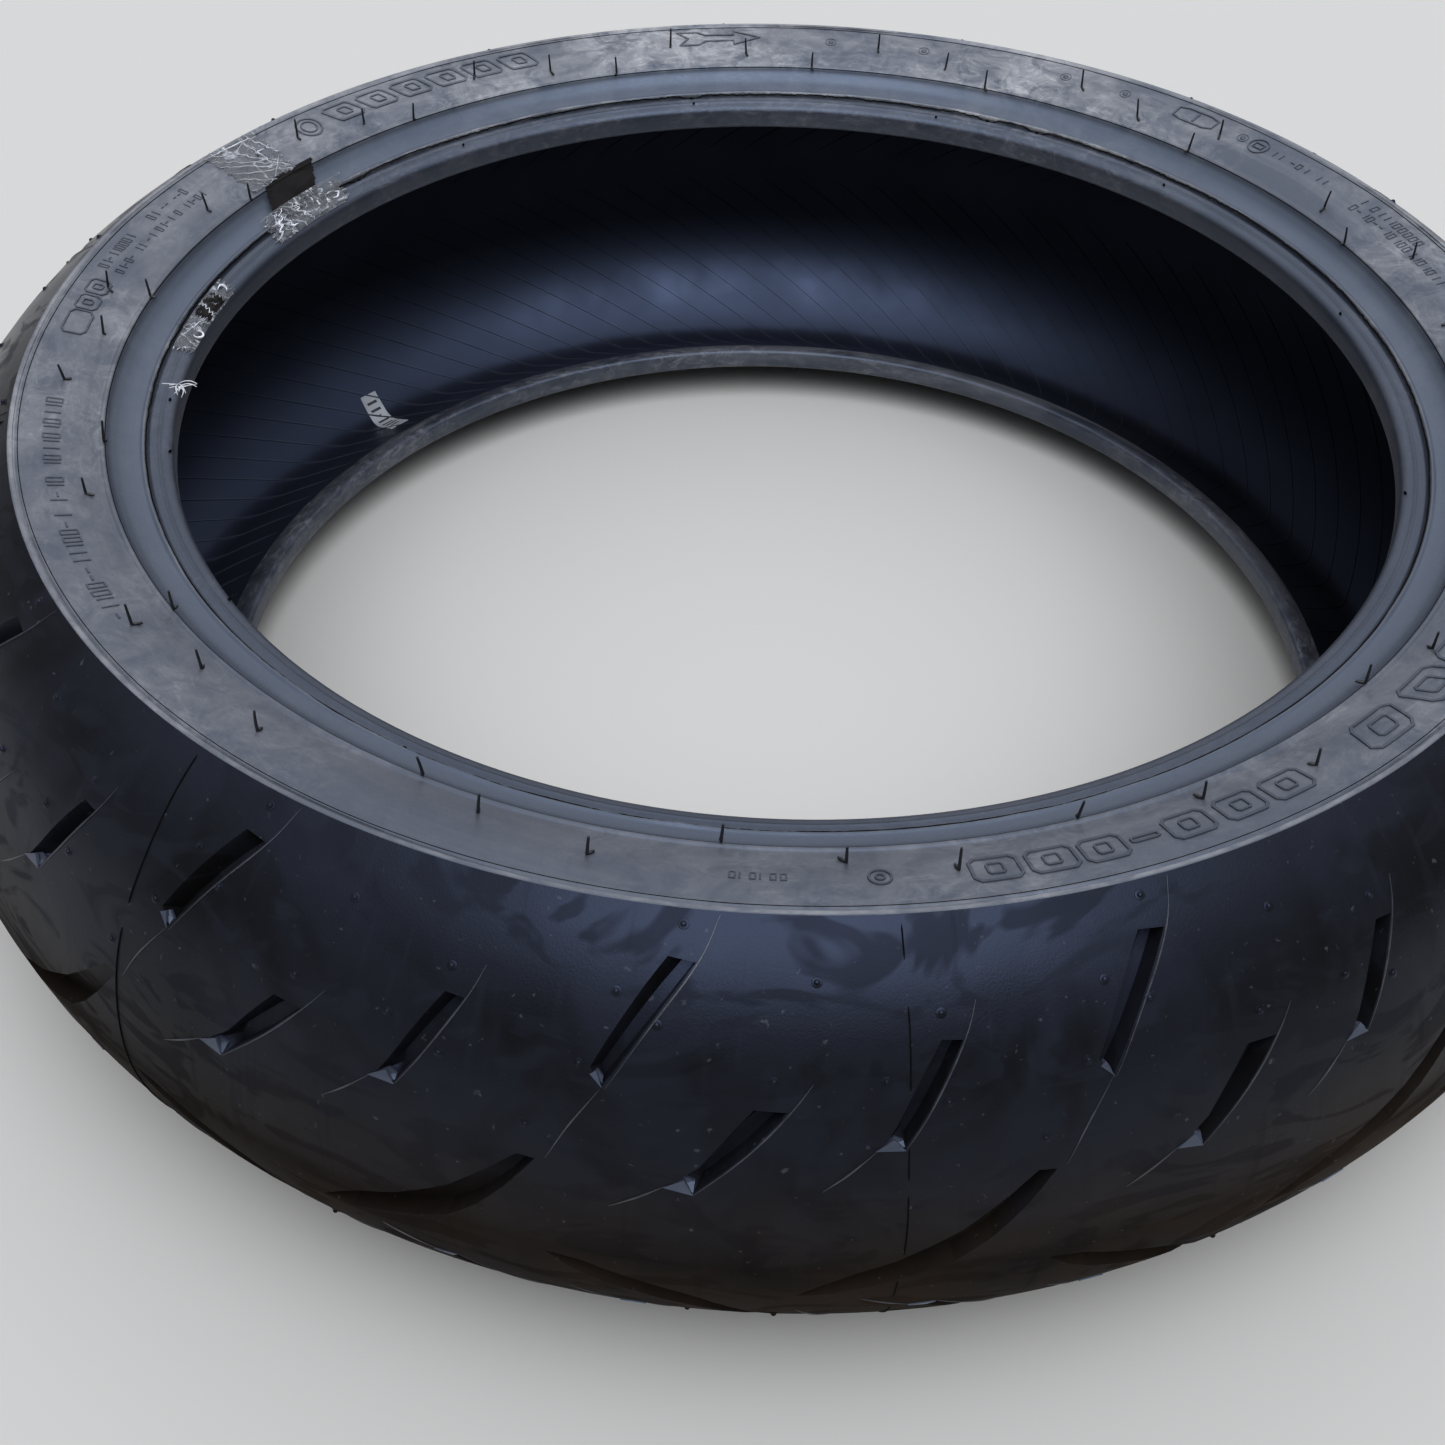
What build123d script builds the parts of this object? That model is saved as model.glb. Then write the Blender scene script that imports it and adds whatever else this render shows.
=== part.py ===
from build123d import *
import os
from math import asin, cos, pi, radians, sin, sqrt, tan

# Rear radial motorcycle tire, size 180/55-17, off the wheel and lying on its side.
# Millimetres. The spin axis is Z, the floor is Z = 0, the crown line is at Z = MID_Z.
# Outlines are written as (radius, height above the crown line) and revolved about Z.

CROWN_R = 315.0        # overall radius over the tread
CROWN_ARC = 100.0      # radius of the crown arc across the tread
HALF_WIDTH = 86.0      # half of the free section width
MID_Z = HALF_WIDTH
CROWN_C = CROWN_R - CROWN_ARC
EDGE = asin(HALF_WIDTH / CROWN_ARC)   # arc angle where the tread meets the sidewall

GROOVE_DEPTH = 6.0
CAP_DEPTH = 8.0        # crown depths, from the tread surface inward
BASE_DEPTH = 9.5
BELT_DEPTH = 10.9
LINER_DEPTH = 14.4
LINER_T = 1.5          # layer thicknesses, from the air side outward
PLY_T = 1.0

SHOULDER_R = 10.0      # inside shoulder radius
SHOULDER_A = radians(58.0)
WALL_A = radians(26.0)  # slope of the carcass line down to the bead
BELT_A = radians(46.0)
BASE_A = radians(54.0)
GROOVED_A = radians(55.5)

SEAT_R = 216.5         # bead seat, 433 mm across for a 17 inch rim
SEAT_TOP = 67.0
SEAT_BOTTOM = 60.4
CORE_R = 2.2
WRAP_R = 2.7
CORE_P = 28.6          # bead core centre, along and across the wall
CORE_T = 5.2
TURN_UP_A = radians(12.0)

PITCHES = 15
NEAR_PITCH = 24.85     # pitch length in degrees on the long-pitch stretch
NEAR_COUNT = 4
FAR_PITCH = (360.0 - NEAR_COUNT * NEAR_PITCH) / (PITCHES - NEAR_COUNT)
PITCH_START = -64.7    # degrees from the -Y side to the first pitch

WHISKER_R = 0.55
WHISKER_LEN = 7.5
NUB_R = 0.8
NUB_H = 0.7
FILM_T = 0.2
LABEL_T = 0.25

os.makedirs("parts", exist_ok=True)


# ---- outline helpers -------------------------------------------------------------

def crown(angle, depth):
    return (CROWN_C + (CROWN_ARC - depth) * cos(angle), (CROWN_ARC - depth) * sin(angle))


inner_arc = CROWN_ARC - LINER_DEPTH
shoulder_c = (CROWN_C + (inner_arc - SHOULDER_R) * cos(SHOULDER_A),
              (inner_arc - SHOULDER_R) * sin(SHOULDER_A))


def shoulder(angle, t):
    return (shoulder_c[0] + (SHOULDER_R + t) * cos(angle), shoulder_c[1] + (SHOULDER_R + t) * sin(angle))


def wall(p, t):
    """Point on the straight wall: p runs from the shoulder to the bead, t outward from the air side."""
    r, z = shoulder(pi / 2 + WALL_A, t)
    return (r - p * cos(WALL_A), z - p * sin(WALL_A))


def around_core(angle, radius):
    return wall(CORE_P + radius * cos(angle), CORE_T + radius * sin(angle))


def flip(point):
    return (point[0], -point[1])


def at(point):
    return (point[0], 0.0, MID_Z + point[1])


def outline(start, steps):
    """Closed face. A step is an end point, or (middle point, end point) of an arc."""
    edges = []
    here = start
    for step in steps:
        if isinstance(step[0], tuple):
            edges.append(Edge.make_three_point_arc(at(here), at(step[0]), at(step[1])))
            here = step[1]
        else:
            edges.append(Edge.make_line(at(here), at(step)))
            here = step
    if here != start:
        edges.append(Edge.make_line(at(here), at(start)))
    return Face(Wire(edges))


def ring(start, steps):
    return revolve(outline(start, steps), axis=Axis.Z)


def strip(face, start_a, end_a):
    """Part ring between two angles, in degrees from the -Y side."""
    sheet = revolve(face, axis=Axis.Z, revolution_arc=end_a - start_a)
    return Rot(0, 0, start_a - 90.0) * sheet


def other_side(solid):
    return mirror(solid, about=Plane.XY.offset(MID_Z))


def over_crown(t):
    """Steps at offset t from the top of the upper wall, over the crown, to the top of the lower wall."""
    mid = (SHOULDER_A + pi / 2 + WALL_A) / 2
    return [(shoulder(mid, t), shoulder(SHOULDER_A, t)),
            (crown(0, LINER_DEPTH - t), flip(shoulder(SHOULDER_A, t))),
            (flip(shoulder(mid, t)), flip(wall(0, t)))]


def back_over_crown(t):
    """The same run the other way, from the lower wall to the upper wall."""
    mid = (SHOULDER_A + pi / 2 + WALL_A) / 2
    return [(flip(shoulder(mid, t)), flip(shoulder(SHOULDER_A, t))),
            (crown(0, LINER_DEPTH - t), shoulder(SHOULDER_A, t)),
            (shoulder(mid, t), wall(0, t))]


def band(angle, depth_out, depth_in):
    """Layer of the crown between two depths, from -angle to +angle."""
    return ring(crown(-angle, depth_out),
                [(crown(0, depth_out), crown(angle, depth_out)),
                 crown(angle, depth_in),
                 (crown(0, depth_in), crown(-angle, depth_in))])


def save(solids, name):
    export_step(solids, "parts/" + name + ".step")
    print(name, round(solids.volume / 1000.0, 2), "cm3", len(solids.solids()), "solids")


# ---- turn-up lines beside the bead filler ----------------------------------------

turn_in = around_core(pi / 2 + TURN_UP_A, WRAP_R)
APEX_P = CORE_P - WRAP_R * sin(TURN_UP_A) - (CORE_T + WRAP_R * cos(TURN_UP_A) - LINER_T - PLY_T) / tan(TURN_UP_A)
STEP_T = PLY_T / cos(TURN_UP_A)
MAIN_T = LINER_T + PLY_T
PLY_TOP = MAIN_T + PLY_T
TURN_END_IN = 9.0
TURN_END_OUT = 12.0
OUTER_PLY_END = 17.0
LINER_END = 27.0
FILLER_END = 27.2


def filler_t(p):
    return MAIN_T + (p - APEX_P) * tan(TURN_UP_A)


def turn_t(p):
    return filler_t(p) + STEP_T


# ---- tread -----------------------------------------------------------------------

def tread_point(a, s):
    """Point on the tread surface: a in degrees from the -Y side, s in mm across from the crown."""
    r, z = crown(s / CROWN_ARC, 0)
    turn = radians(a - 90.0)
    return Vector(r * cos(turn), r * sin(turn), MID_Z + z)


def tread_frame(a, s):
    turn = radians(a - 90.0)
    lean = s / CROWN_ARC
    normal = Vector(cos(lean) * cos(turn), cos(lean) * sin(turn), sin(lean))
    along = Vector(-sin(turn), cos(turn), 0)
    return Plane(origin=tread_point(a, s), x_dir=along, z_dir=normal)


def flat(frame, points):
    local = [frame.to_local_coords(tread_point(a, s)) for a, s in points]
    return [(v.X, v.Y) for v in local]


def groove(top, floor, below):
    """Groove cutter whose mouth is the outline top and whose floor outline is floor."""
    a_mid = sum(p[0] for p in top) / len(top)
    s_mid = sum(p[1] for p in top) / len(top)
    frame = tread_frame(a_mid, s_mid)
    mouth = flat(frame, top)
    foot = flat(frame, floor)
    above = 1.5
    up = []
    down = []
    for m, f in zip(mouth, foot):
        dx = (f[0] - m[0]) / GROOVE_DEPTH
        dy = (f[1] - m[1]) / GROOVE_DEPTH
        up.append(frame.from_local_coords(Vector(m[0] - dx * above, m[1] - dy * above, above)))
        down.append(frame.from_local_coords(Vector(m[0] + dx * below, m[1] + dy * below, -below)))
    return Solid.make_loft([Wire.make_polygon(down), Wire.make_polygon(up)], ruled=True)


# Groove outlines for one pitch: degrees along the tread, mm across it.
LONG_TOP = [(7.1, 61.0), (10.2, 91.5), (11.9, 90.5), (9.6, 72.0), (7.9, 56.0)]
LONG_FLOOR = [(7.5, 61.0), (10.9, 90.5), (11.7, 89.8), (9.4, 72.0), (7.8, 58.0)]
WIDE_TOP = [(-13.6, 30.0), (-12.1, 37.0), (-9.8, 54.5), (-8.0, 54.0), (-9.9, 42.0), (-12.4, 28.0)]
WIDE_FLOOR = [(-12.1, 33.4), (-11.8, 37.5), (-9.2, 53.3), (-8.2, 53.3), (-10.0, 42.2), (-12.0, 31.0)]
SLIM_TOP = [(-3.7, 43.5), (-2.9, 50.0), (-0.75, 72.0), (0.45, 71.5), (-1.3, 54.0), (-2.5, 43.3)]
SLIM_FLOOR = [(-2.6, 47.0), (-2.5, 51.0), (-0.3, 71.0), (0.3, 70.8), (-1.4, 54.3), (-2.4, 45.2)]
CURVE = [(-7.2, -16.8), (-6.0, -9.5), (-4.5, -3.0), (-2.5, 3.0), (0.5, 14.5), (4.0, 32.5),
         (4.9, 32.0), (3.4, 20.0), (2.0, 10.0), (0.3, 0.5), (-1.5, -5.0), (-5.4, -15.5)]
CURVE_SHIFT = 22.0     # the curved grooves of the lower half sit this much farther out


def place(points, centre, side, shift):
    return [(centre + a, side * (s + shift)) for a, s in points]


centres = []
centre = PITCH_START
for number in range(PITCHES):
    centres.append(centre)
    centre += NEAR_PITCH if number < NEAR_COUNT else FAR_PITCH

cutters = []
for number, centre in enumerate(centres):
    half = (NEAR_PITCH if number < NEAR_COUNT else FAR_PITCH) / 2
    for side, middle in ((1, centre), (-1, centre + half)):
        for top, floor in ((LONG_TOP, LONG_FLOOR), (WIDE_TOP, WIDE_FLOOR), (SLIM_TOP, SLIM_FLOOR)):
            cutters.append(groove(place(top, middle, side, 0), place(floor, middle, side, 0), 9.0))
        curve = place(CURVE, middle, side, 0 if side > 0 else CURVE_SHIFT)
        cutters.append(groove(curve, curve, 13.0))

tread_top = ring(crown(-EDGE, 0),
                 [(crown(0, 0), crown(EDGE, 0)),
                  crown(GROOVED_A, GROOVE_DEPTH),
                  (crown(0, GROOVE_DEPTH), crown(-GROOVED_A, GROOVE_DEPTH))])
tread_foot = ring(crown(-GROOVED_A, GROOVE_DEPTH),
                  [(crown(0, GROOVE_DEPTH), crown(GROOVED_A, GROOVE_DEPTH)),
                   crown(BASE_A, CAP_DEPTH),
                   (crown(0, CAP_DEPTH), crown(-BASE_A, CAP_DEPTH))])
tread_cap = tread_foot + (tread_top - cutters)
save(tread_cap, "tread_cap")

tread_base = band(BASE_A, CAP_DEPTH, BASE_DEPTH)
save(tread_base, "tread_base")

# ---- belt and its edge strips ----------------------------------------------------

save(band(BELT_A, BASE_DEPTH, BELT_DEPTH), "jointless_belt")

strip_mid = (BELT_A + BASE_A) / 2
belt_edge_strip = ring(crown(BELT_A, BASE_DEPTH),
                       [(crown(strip_mid, BASE_DEPTH), crown(BASE_A, BASE_DEPTH)),
                        crown(BASE_A, BELT_DEPTH),
                        (crown(strip_mid, BELT_DEPTH), crown(BELT_A, BELT_DEPTH))])
save(belt_edge_strip, "belt_edge_strip_upper")
save(other_side(belt_edge_strip), "belt_edge_strip_lower")

# ---- carcass ---------------------------------------------------------------------

# Inner ply: down the wall, round the core and back up beside the filler.
loop_mid = TURN_UP_A / 2
loop_end = pi / 2 + TURN_UP_A
upper_edge = [wall(CORE_P, MAIN_T),
                  (around_core(loop_mid, WRAP_R), around_core(loop_end, WRAP_R)),
                  wall(TURN_END_IN, filler_t(TURN_END_IN)),
                  wall(TURN_END_OUT, turn_t(TURN_END_OUT)),
                  around_core(loop_end, WRAP_R + PLY_T),
                  (around_core(loop_mid, WRAP_R + PLY_T), wall(CORE_P, LINER_T)),
                  wall(0, LINER_T)]
lower_edge = [flip(wall(CORE_P, LINER_T)),
              (flip(around_core(loop_mid, WRAP_R + PLY_T)), flip(around_core(loop_end, WRAP_R + PLY_T))),
              flip(wall(TURN_END_OUT, turn_t(TURN_END_OUT))),
              flip(wall(TURN_END_IN, filler_t(TURN_END_IN))),
              flip(around_core(loop_end, WRAP_R)),
              (flip(around_core(loop_mid, WRAP_R)), flip(wall(CORE_P, MAIN_T))),
              flip(wall(0, MAIN_T))]
save(ring(wall(0, MAIN_T),
          upper_edge + over_crown(LINER_T) + lower_edge + back_over_crown(MAIN_T)),
     "carcass_ply_inner")

# Outer ply: rides out over the filler and the end of the turn-up.
ply_under = [(APEX_P, MAIN_T),
             (TURN_END_IN, filler_t(TURN_END_IN)),
             (TURN_END_OUT, turn_t(TURN_END_OUT)),
             (OUTER_PLY_END, turn_t(OUTER_PLY_END))]
ply_over = [(OUTER_PLY_END, turn_t(OUTER_PLY_END) + STEP_T),
            (TURN_END_OUT - 0.3, turn_t(TURN_END_OUT - 0.3) + STEP_T),
            (TURN_END_IN - 0.5, filler_t(TURN_END_IN - 0.5) + STEP_T),
            (APEX_P - 0.1, PLY_TOP)]
outer_upper = [wall(p, t) for p, t in ply_under + ply_over] + [wall(0, PLY_TOP)]
outer_lower = [flip(wall(p, t)) for p, t in reversed(ply_under + ply_over)] + [flip(wall(0, MAIN_T))]
save(ring(wall(0, MAIN_T), outer_upper + over_crown(PLY_TOP) + outer_lower + back_over_crown(MAIN_T)),
     "carcass_ply_outer")

save(ring(wall(0, 0),
          [wall(LINER_END, 0), wall(LINER_END, LINER_T), wall(0, LINER_T)] + over_crown(LINER_T)
          + [flip(wall(LINER_END, LINER_T)), flip(wall(LINER_END, 0)), flip(wall(0, 0))]
          + back_over_crown(0)),
     "inner_liner")

# ---- beads -----------------------------------------------------------------------

def round_ring(radius):
    path_r, path_z = wall(CORE_P, CORE_T)
    section = Plane.XZ * Pos(path_r, MID_Z + path_z) * Circle(radius)
    return revolve(section, axis=Axis.Z)


bead_core = round_ring(CORE_R)
bead_wrap = round_ring(WRAP_R) - bead_core
filler_foot = sqrt(WRAP_R ** 2 - (CORE_P - FILLER_END) ** 2)
bead_filler = ring(wall(APEX_P, MAIN_T),
                   [wall(FILLER_END, MAIN_T),
                    wall(FILLER_END, CORE_T - filler_foot),
                    (wall(CORE_P - WRAP_R, CORE_T), wall(FILLER_END, CORE_T + filler_foot)),
                    wall(FILLER_END, filler_t(FILLER_END))])

# Chafer: wraps the toe, the seat, the heel and the band outside the bead.
BAND_EDGE = (225.0, 70.55)
CHAFER_END = 23.6
chafer = ring(wall(LINER_END, 0),
              [wall(LINER_END, LINER_T),
               wall(CORE_P, LINER_T),
               (around_core(loop_mid, WRAP_R + PLY_T), around_core(loop_end, WRAP_R + PLY_T)),
               wall(CHAFER_END, turn_t(CHAFER_END)),
               BAND_EDGE,
               (224.3, 70.1),
               (219.6, 68.95),
               ((217.5, 68.25), (SEAT_R, SEAT_TOP)),
               (SEAT_R, SEAT_BOTTOM),
               ((217.0, 59.3), (218.2, 58.9)),
               (221.6, 59.1)])

for name, solid in (("bead_core", bead_core), ("bead_wrap", bead_wrap),
                    ("bead_filler", bead_filler), ("chafer", chafer)):
    save(solid, name + "_upper")
    save(other_side(solid), name + "_lower")

# ---- sidewalls -------------------------------------------------------------------

LAND_R = 263.6         # flat land the tire rests on, from here out to the tread edge
STEP_R = 263.0
sidewall_face = [(LAND_R, HALF_WIDTH),
                 (STEP_R, HALF_WIDTH - 0.6),
                 ((250.5, 82.9), (238.4, 78.5)),
                 (237.7, 78.8),
                 (236.8, 78.4),
                 (236.2, 77.0),
                 ((231.4, 73.1), (226.6, 71.5)),
                 (225.8, 71.6),
                 (225.2, 71.2)]
sidewall_back = ([BAND_EDGE, wall(CHAFER_END, turn_t(CHAFER_END)), wall(OUTER_PLY_END, turn_t(OUTER_PLY_END))]
                 + [wall(p, t) for p, t in ply_over]
                 + [wall(0, PLY_TOP),
                    (shoulder((SHOULDER_A + pi / 2 + WALL_A) / 2, PLY_TOP), shoulder(SHOULDER_A, PLY_TOP)),
                    (crown((SHOULDER_A + BASE_A) / 2, BELT_DEPTH), crown(BASE_A, BELT_DEPTH)),
                    crown(BASE_A, CAP_DEPTH),
                    crown(GROOVED_A, GROOVE_DEPTH)])
sidewall = ring(crown(EDGE, 0), sidewall_face + sidewall_back)
save(sidewall, "sidewall_upper")
save(other_side(sidewall), "sidewall_lower")


def face_height(r):
    """Height of the sidewall face above the crown line at radius r, between its step and its ridge."""
    run = (STEP_R - r) / (STEP_R - 238.4)
    chord = (HALF_WIDTH - 0.6) + run * (78.5 - HALF_WIDTH + 0.6)
    return chord + 4 * run * (1 - run) * 1.0


# ---- moulding hairs and nubs -----------------------------------------------------

# Three rings of hairs on each sidewall: radius, then the places in degrees from the -Y side.
HAIRS = {
    236.9: (-181.2, -159.6, -135.8, -113.5, -94.6, -72.2, -49.2, -23.2,
            -2.7, 20.7, 46.7, 70.0, 92.0, 113.6, 135.5, 159.6),
    244.4: (-174.1, -152.8, -131.0, -109.3, -87.5, -65.0, -41.9, -18.1,
            5.1, 28.8, 52.7, 75.5, 98.0, 119.2, 143.0, 164.5),
    251.0: (-166.2, -145.0, -124.0, -93.9, -80.1, -48.3, -34.0, -10.4,
            11.6, 36.7, 60.0, 84.0, 108.0, 134.4, 150.2, 172.0)}


def hairs(length, floor_side):
    found = []
    for radius, places in HAIRS.items():
        top = 79.0 if radius < 238.0 else face_height(radius) + 0.35
        for a in places:
            turn = radians(a - 90.0)
            low = MID_Z + top
            if floor_side:
                low = MID_Z - top - length
            spot = Pos(radius * cos(turn), radius * sin(turn), low + length / 2)
            found.append(spot * Cylinder(WHISKER_R, length))
    return Compound(found)


save(hairs(WHISKER_LEN, False), "vent_hairs_upper")
save(hairs(1.6, True), "vent_hairs_lower")

# Nubs beside the grooves of each pitch.
NUB_PLACES = [(11.0, 99.5), (8.0, 81.0), (10.2, 74.0), (6.6, 61.5), (-6.8, 87.0), (-8.8, 62.0),
              (-0.6, 78.5), (-3.4, 62.0), (-0.4, 55.5), (4.3, 42.0)]
nubs = []
for number, centre in enumerate(centres):
    half = (NEAR_PITCH if number < NEAR_COUNT else FAR_PITCH) / 2
    for side, middle in ((1, centre), (-1, centre + half)):
        for a, s in NUB_PLACES:
            frame = tread_frame(middle + a, side * s)
            nubs.append(frame * Pos(0, 0, NUB_H / 2 + 0.02) * Cylinder(NUB_R, NUB_H))
save(Compound(nubs), "tread_vent_nubs")

# ---- scraps of clear film and the label ------------------------------------------

def film(path):
    return outline(path[0], path[1:] + [(r, z + FILM_T) for r, z in reversed(path)])


film_long = [(262.5, 85.35), (257.0, face_height(257.0) + 0.5), (250.5, face_height(250.5) + 0.5),
             (244.0, face_height(244.0) + 0.5), (238.6, 79.2), (236.6, 78.9), (231.5, 74.6),
             (226.4, 72.1), (225.0, 71.7), (219.5, 69.4), (217.6, 68.9)]
save(strip(film(film_long), -121.3, -115.0), "wrap_film_long")
film_short = [(225.8, 72.0), (224.4, 70.8), (219.6, 69.5), (217.4, 69.0)]
save(strip(film(film_short), -102.0, -92.0), "wrap_film_short")

# The label runs over the inside shoulder of the lower half.
LABEL_GAP = 0.05
LABEL_TOP_A = radians(51.0)
LABEL_FOOT_P = 14.0
corner_mid = (SHOULDER_A + pi / 2 + WALL_A) / 2
face_t = -LABEL_GAP
back_t = -LABEL_GAP - LABEL_T
label = outline(crown(LABEL_TOP_A, LINER_DEPTH - face_t),
                [(crown((LABEL_TOP_A + SHOULDER_A) / 2, LINER_DEPTH - face_t), shoulder(SHOULDER_A, face_t)),
                 (shoulder(corner_mid, face_t), wall(0, face_t)),
                 wall(LABEL_FOOT_P, face_t),
                 wall(LABEL_FOOT_P, back_t),
                 wall(0, back_t),
                 (shoulder(corner_mid, back_t), shoulder(SHOULDER_A, back_t)),
                 (crown((LABEL_TOP_A + SHOULDER_A) / 2, LINER_DEPTH - back_t),
                  crown(LABEL_TOP_A, LINER_DEPTH - back_t))])
save(other_side(strip(label, -131.4, -129.0)), "inspection_label")
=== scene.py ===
import math
import random
import bpy
import numpy as np
from mathutils import Matrix, Vector


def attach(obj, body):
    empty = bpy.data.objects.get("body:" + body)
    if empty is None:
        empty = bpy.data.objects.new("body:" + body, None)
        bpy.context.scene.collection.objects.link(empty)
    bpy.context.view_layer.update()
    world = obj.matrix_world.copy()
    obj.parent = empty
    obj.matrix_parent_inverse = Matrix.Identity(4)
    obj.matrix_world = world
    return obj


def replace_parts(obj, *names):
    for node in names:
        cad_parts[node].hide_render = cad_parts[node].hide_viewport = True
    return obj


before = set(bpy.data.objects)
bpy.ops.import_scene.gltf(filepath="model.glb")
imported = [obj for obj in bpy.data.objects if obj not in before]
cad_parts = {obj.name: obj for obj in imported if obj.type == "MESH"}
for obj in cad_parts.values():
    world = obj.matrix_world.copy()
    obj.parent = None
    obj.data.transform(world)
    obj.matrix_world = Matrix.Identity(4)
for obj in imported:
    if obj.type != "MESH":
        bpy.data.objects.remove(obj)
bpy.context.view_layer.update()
MM = 0.001

# ---- shape of the tire, in millimetres -------------------------------------------
# Heights z are measured from the middle plane, radii r from the axis. Angles a are in degrees
# from the -Y side towards +X, and side is 1 for the upper half and -1 for the lower one.

MID = 86.0                      # height of the middle plane over the floor
CROWN_C = 215.0                 # centre radius of the tread's arc
CROWN_ARC = 100.0               # radius of the tread's arc
LINER_ARC = 85.6                # radius of the liner's arc under the tread
SHOULDER_R = 10.0               # liner's corner radius at the shoulder
SHOULDER_A = math.radians(58.0)
WALL_A = math.radians(26.0)     # slope of the liner behind the sidewall
SHOULDER_C = (CROWN_C + (LINER_ARC - SHOULDER_R) * math.cos(SHOULDER_A),
              (LINER_ARC - SHOULDER_R) * math.sin(SHOULDER_A))
STEP_R = 263.0                  # outer and inner radius of the sidewall's face
FACE_FOOT_R = 238.4
FACE_TOP, FACE_DROP, FACE_BULGE = 85.4, 6.9, 4.0


def spin(a, r, z):
    """Vector at angle a round the axis, with radius r and height z."""
    turn = math.radians(a - 90.0)
    return Vector((r * math.cos(turn), r * math.sin(turn), z))


def shoulder(angle, t):
    """(r, z) on the shoulder corner, t outward from the liner."""
    return (SHOULDER_C[0] + (SHOULDER_R + t) * math.cos(angle),
            SHOULDER_C[1] + (SHOULDER_R + t) * math.sin(angle))


def wall(p, t):
    """(r, z) behind the sidewall, p along it from the shoulder, t outward from the liner."""
    r, z = shoulder(math.pi / 2 + WALL_A, t)
    return (r - p * math.cos(WALL_A), z - p * math.sin(WALL_A))


def crown(angle, depth):
    """(r, z) under the tread's surface."""
    return (CROWN_C + (CROWN_ARC - depth) * math.cos(angle), (CROWN_ARC - depth) * math.sin(angle))


def face_height(r):
    run = (STEP_R - r) / (STEP_R - FACE_FOOT_R)
    return FACE_TOP - FACE_DROP * run + FACE_BULGE * run * (1.0 - run)


def face_slope(r):
    return (face_height(r + 0.1) - face_height(r - 0.1)) / 0.2


def side_point(a, r, side=1, lift=0.0):
    """Point and outward normal on the face of a sidewall."""
    n = spin(a, -face_slope(r), side).normalized()
    return spin(a, r, MID + side * face_height(r)) + n * lift, n


def tread_point(a, s, lift=0.0):
    """Point and outward normal on the tread, s across from the crown line."""
    lean = s / CROWN_ARC
    r, z = crown(lean, 0.0)
    n = spin(a, math.cos(lean), math.sin(lean))
    return spin(a, r, MID + z) + n * lift, n


def liner_section(q):
    """Radius, height and air-side normal of the liner, q along its section from the crown line."""
    side = 1.0 if q >= 0 else -1.0
    q = abs(q)
    arc = LINER_ARC * SHOULDER_A
    corner = SHOULDER_R * (math.pi / 2 + WALL_A - SHOULDER_A)
    if q < arc:
        angle = q / LINER_ARC
        r, z = CROWN_C + LINER_ARC * math.cos(angle), LINER_ARC * math.sin(angle)
        n = (-math.cos(angle), -math.sin(angle))
    elif q < arc + corner:
        angle = SHOULDER_A + (q - arc) / SHOULDER_R
        r, z = shoulder(angle, 0.0)
        n = (-math.cos(angle), -math.sin(angle))
    else:
        r, z = wall(q - arc - corner, 0.0)
        n = (math.sin(WALL_A), -math.cos(WALL_A))
    return r, side * z, n[0], side * n[1]


def liner_point(a, q, lift=0.0):
    """Point and air-side normal on the liner."""
    r, z, nr, nz = liner_section(q)
    n = spin(a, nr, nz)
    return spin(a, r, MID + z) + n * lift, n


# ---- materials -------------------------------------------------------------------

ARC_SCALE = 0.25                # metres of polar coordinate per radian round the tire


class Nodes:
    """Adds nodes to one node tree."""

    def __init__(self, tree):
        self.tree = tree

    def add(self, kind, sockets, output=0, **settings):
        """New node with its settings and its inputs set or linked; gives back one output."""
        node = self.tree.nodes.new("ShaderNode" + kind)
        for name, value in settings.items():
            setattr(node, name, value)
        for key, value in sockets.items():
            if isinstance(value, bpy.types.NodeSocket):
                self.tree.links.new(value, node.inputs[key])
            elif value is not None:
                node.inputs[key].default_value = value
        return node.outputs[output]

    def math(self, kind, a, b=0.0, clamp=False):
        return self.add("Math", {0: a, 1: b}, operation=kind, use_clamp=clamp)

    def times(self, a, b, clamp=False):
        return self.math("MULTIPLY", a, b, clamp)

    def plus(self, a, b, clamp=False):
        return self.math("ADD", a, b, clamp)

    def ramp(self, value, low, high, out_low=0.0, out_high=1.0, kind="LINEAR"):
        limits = {"From Min": low, "From Max": high, "To Min": out_low, "To Max": out_high}
        return self.add("MapRange", {"Value": value, **limits}, "Result", interpolation_type=kind)


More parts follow.
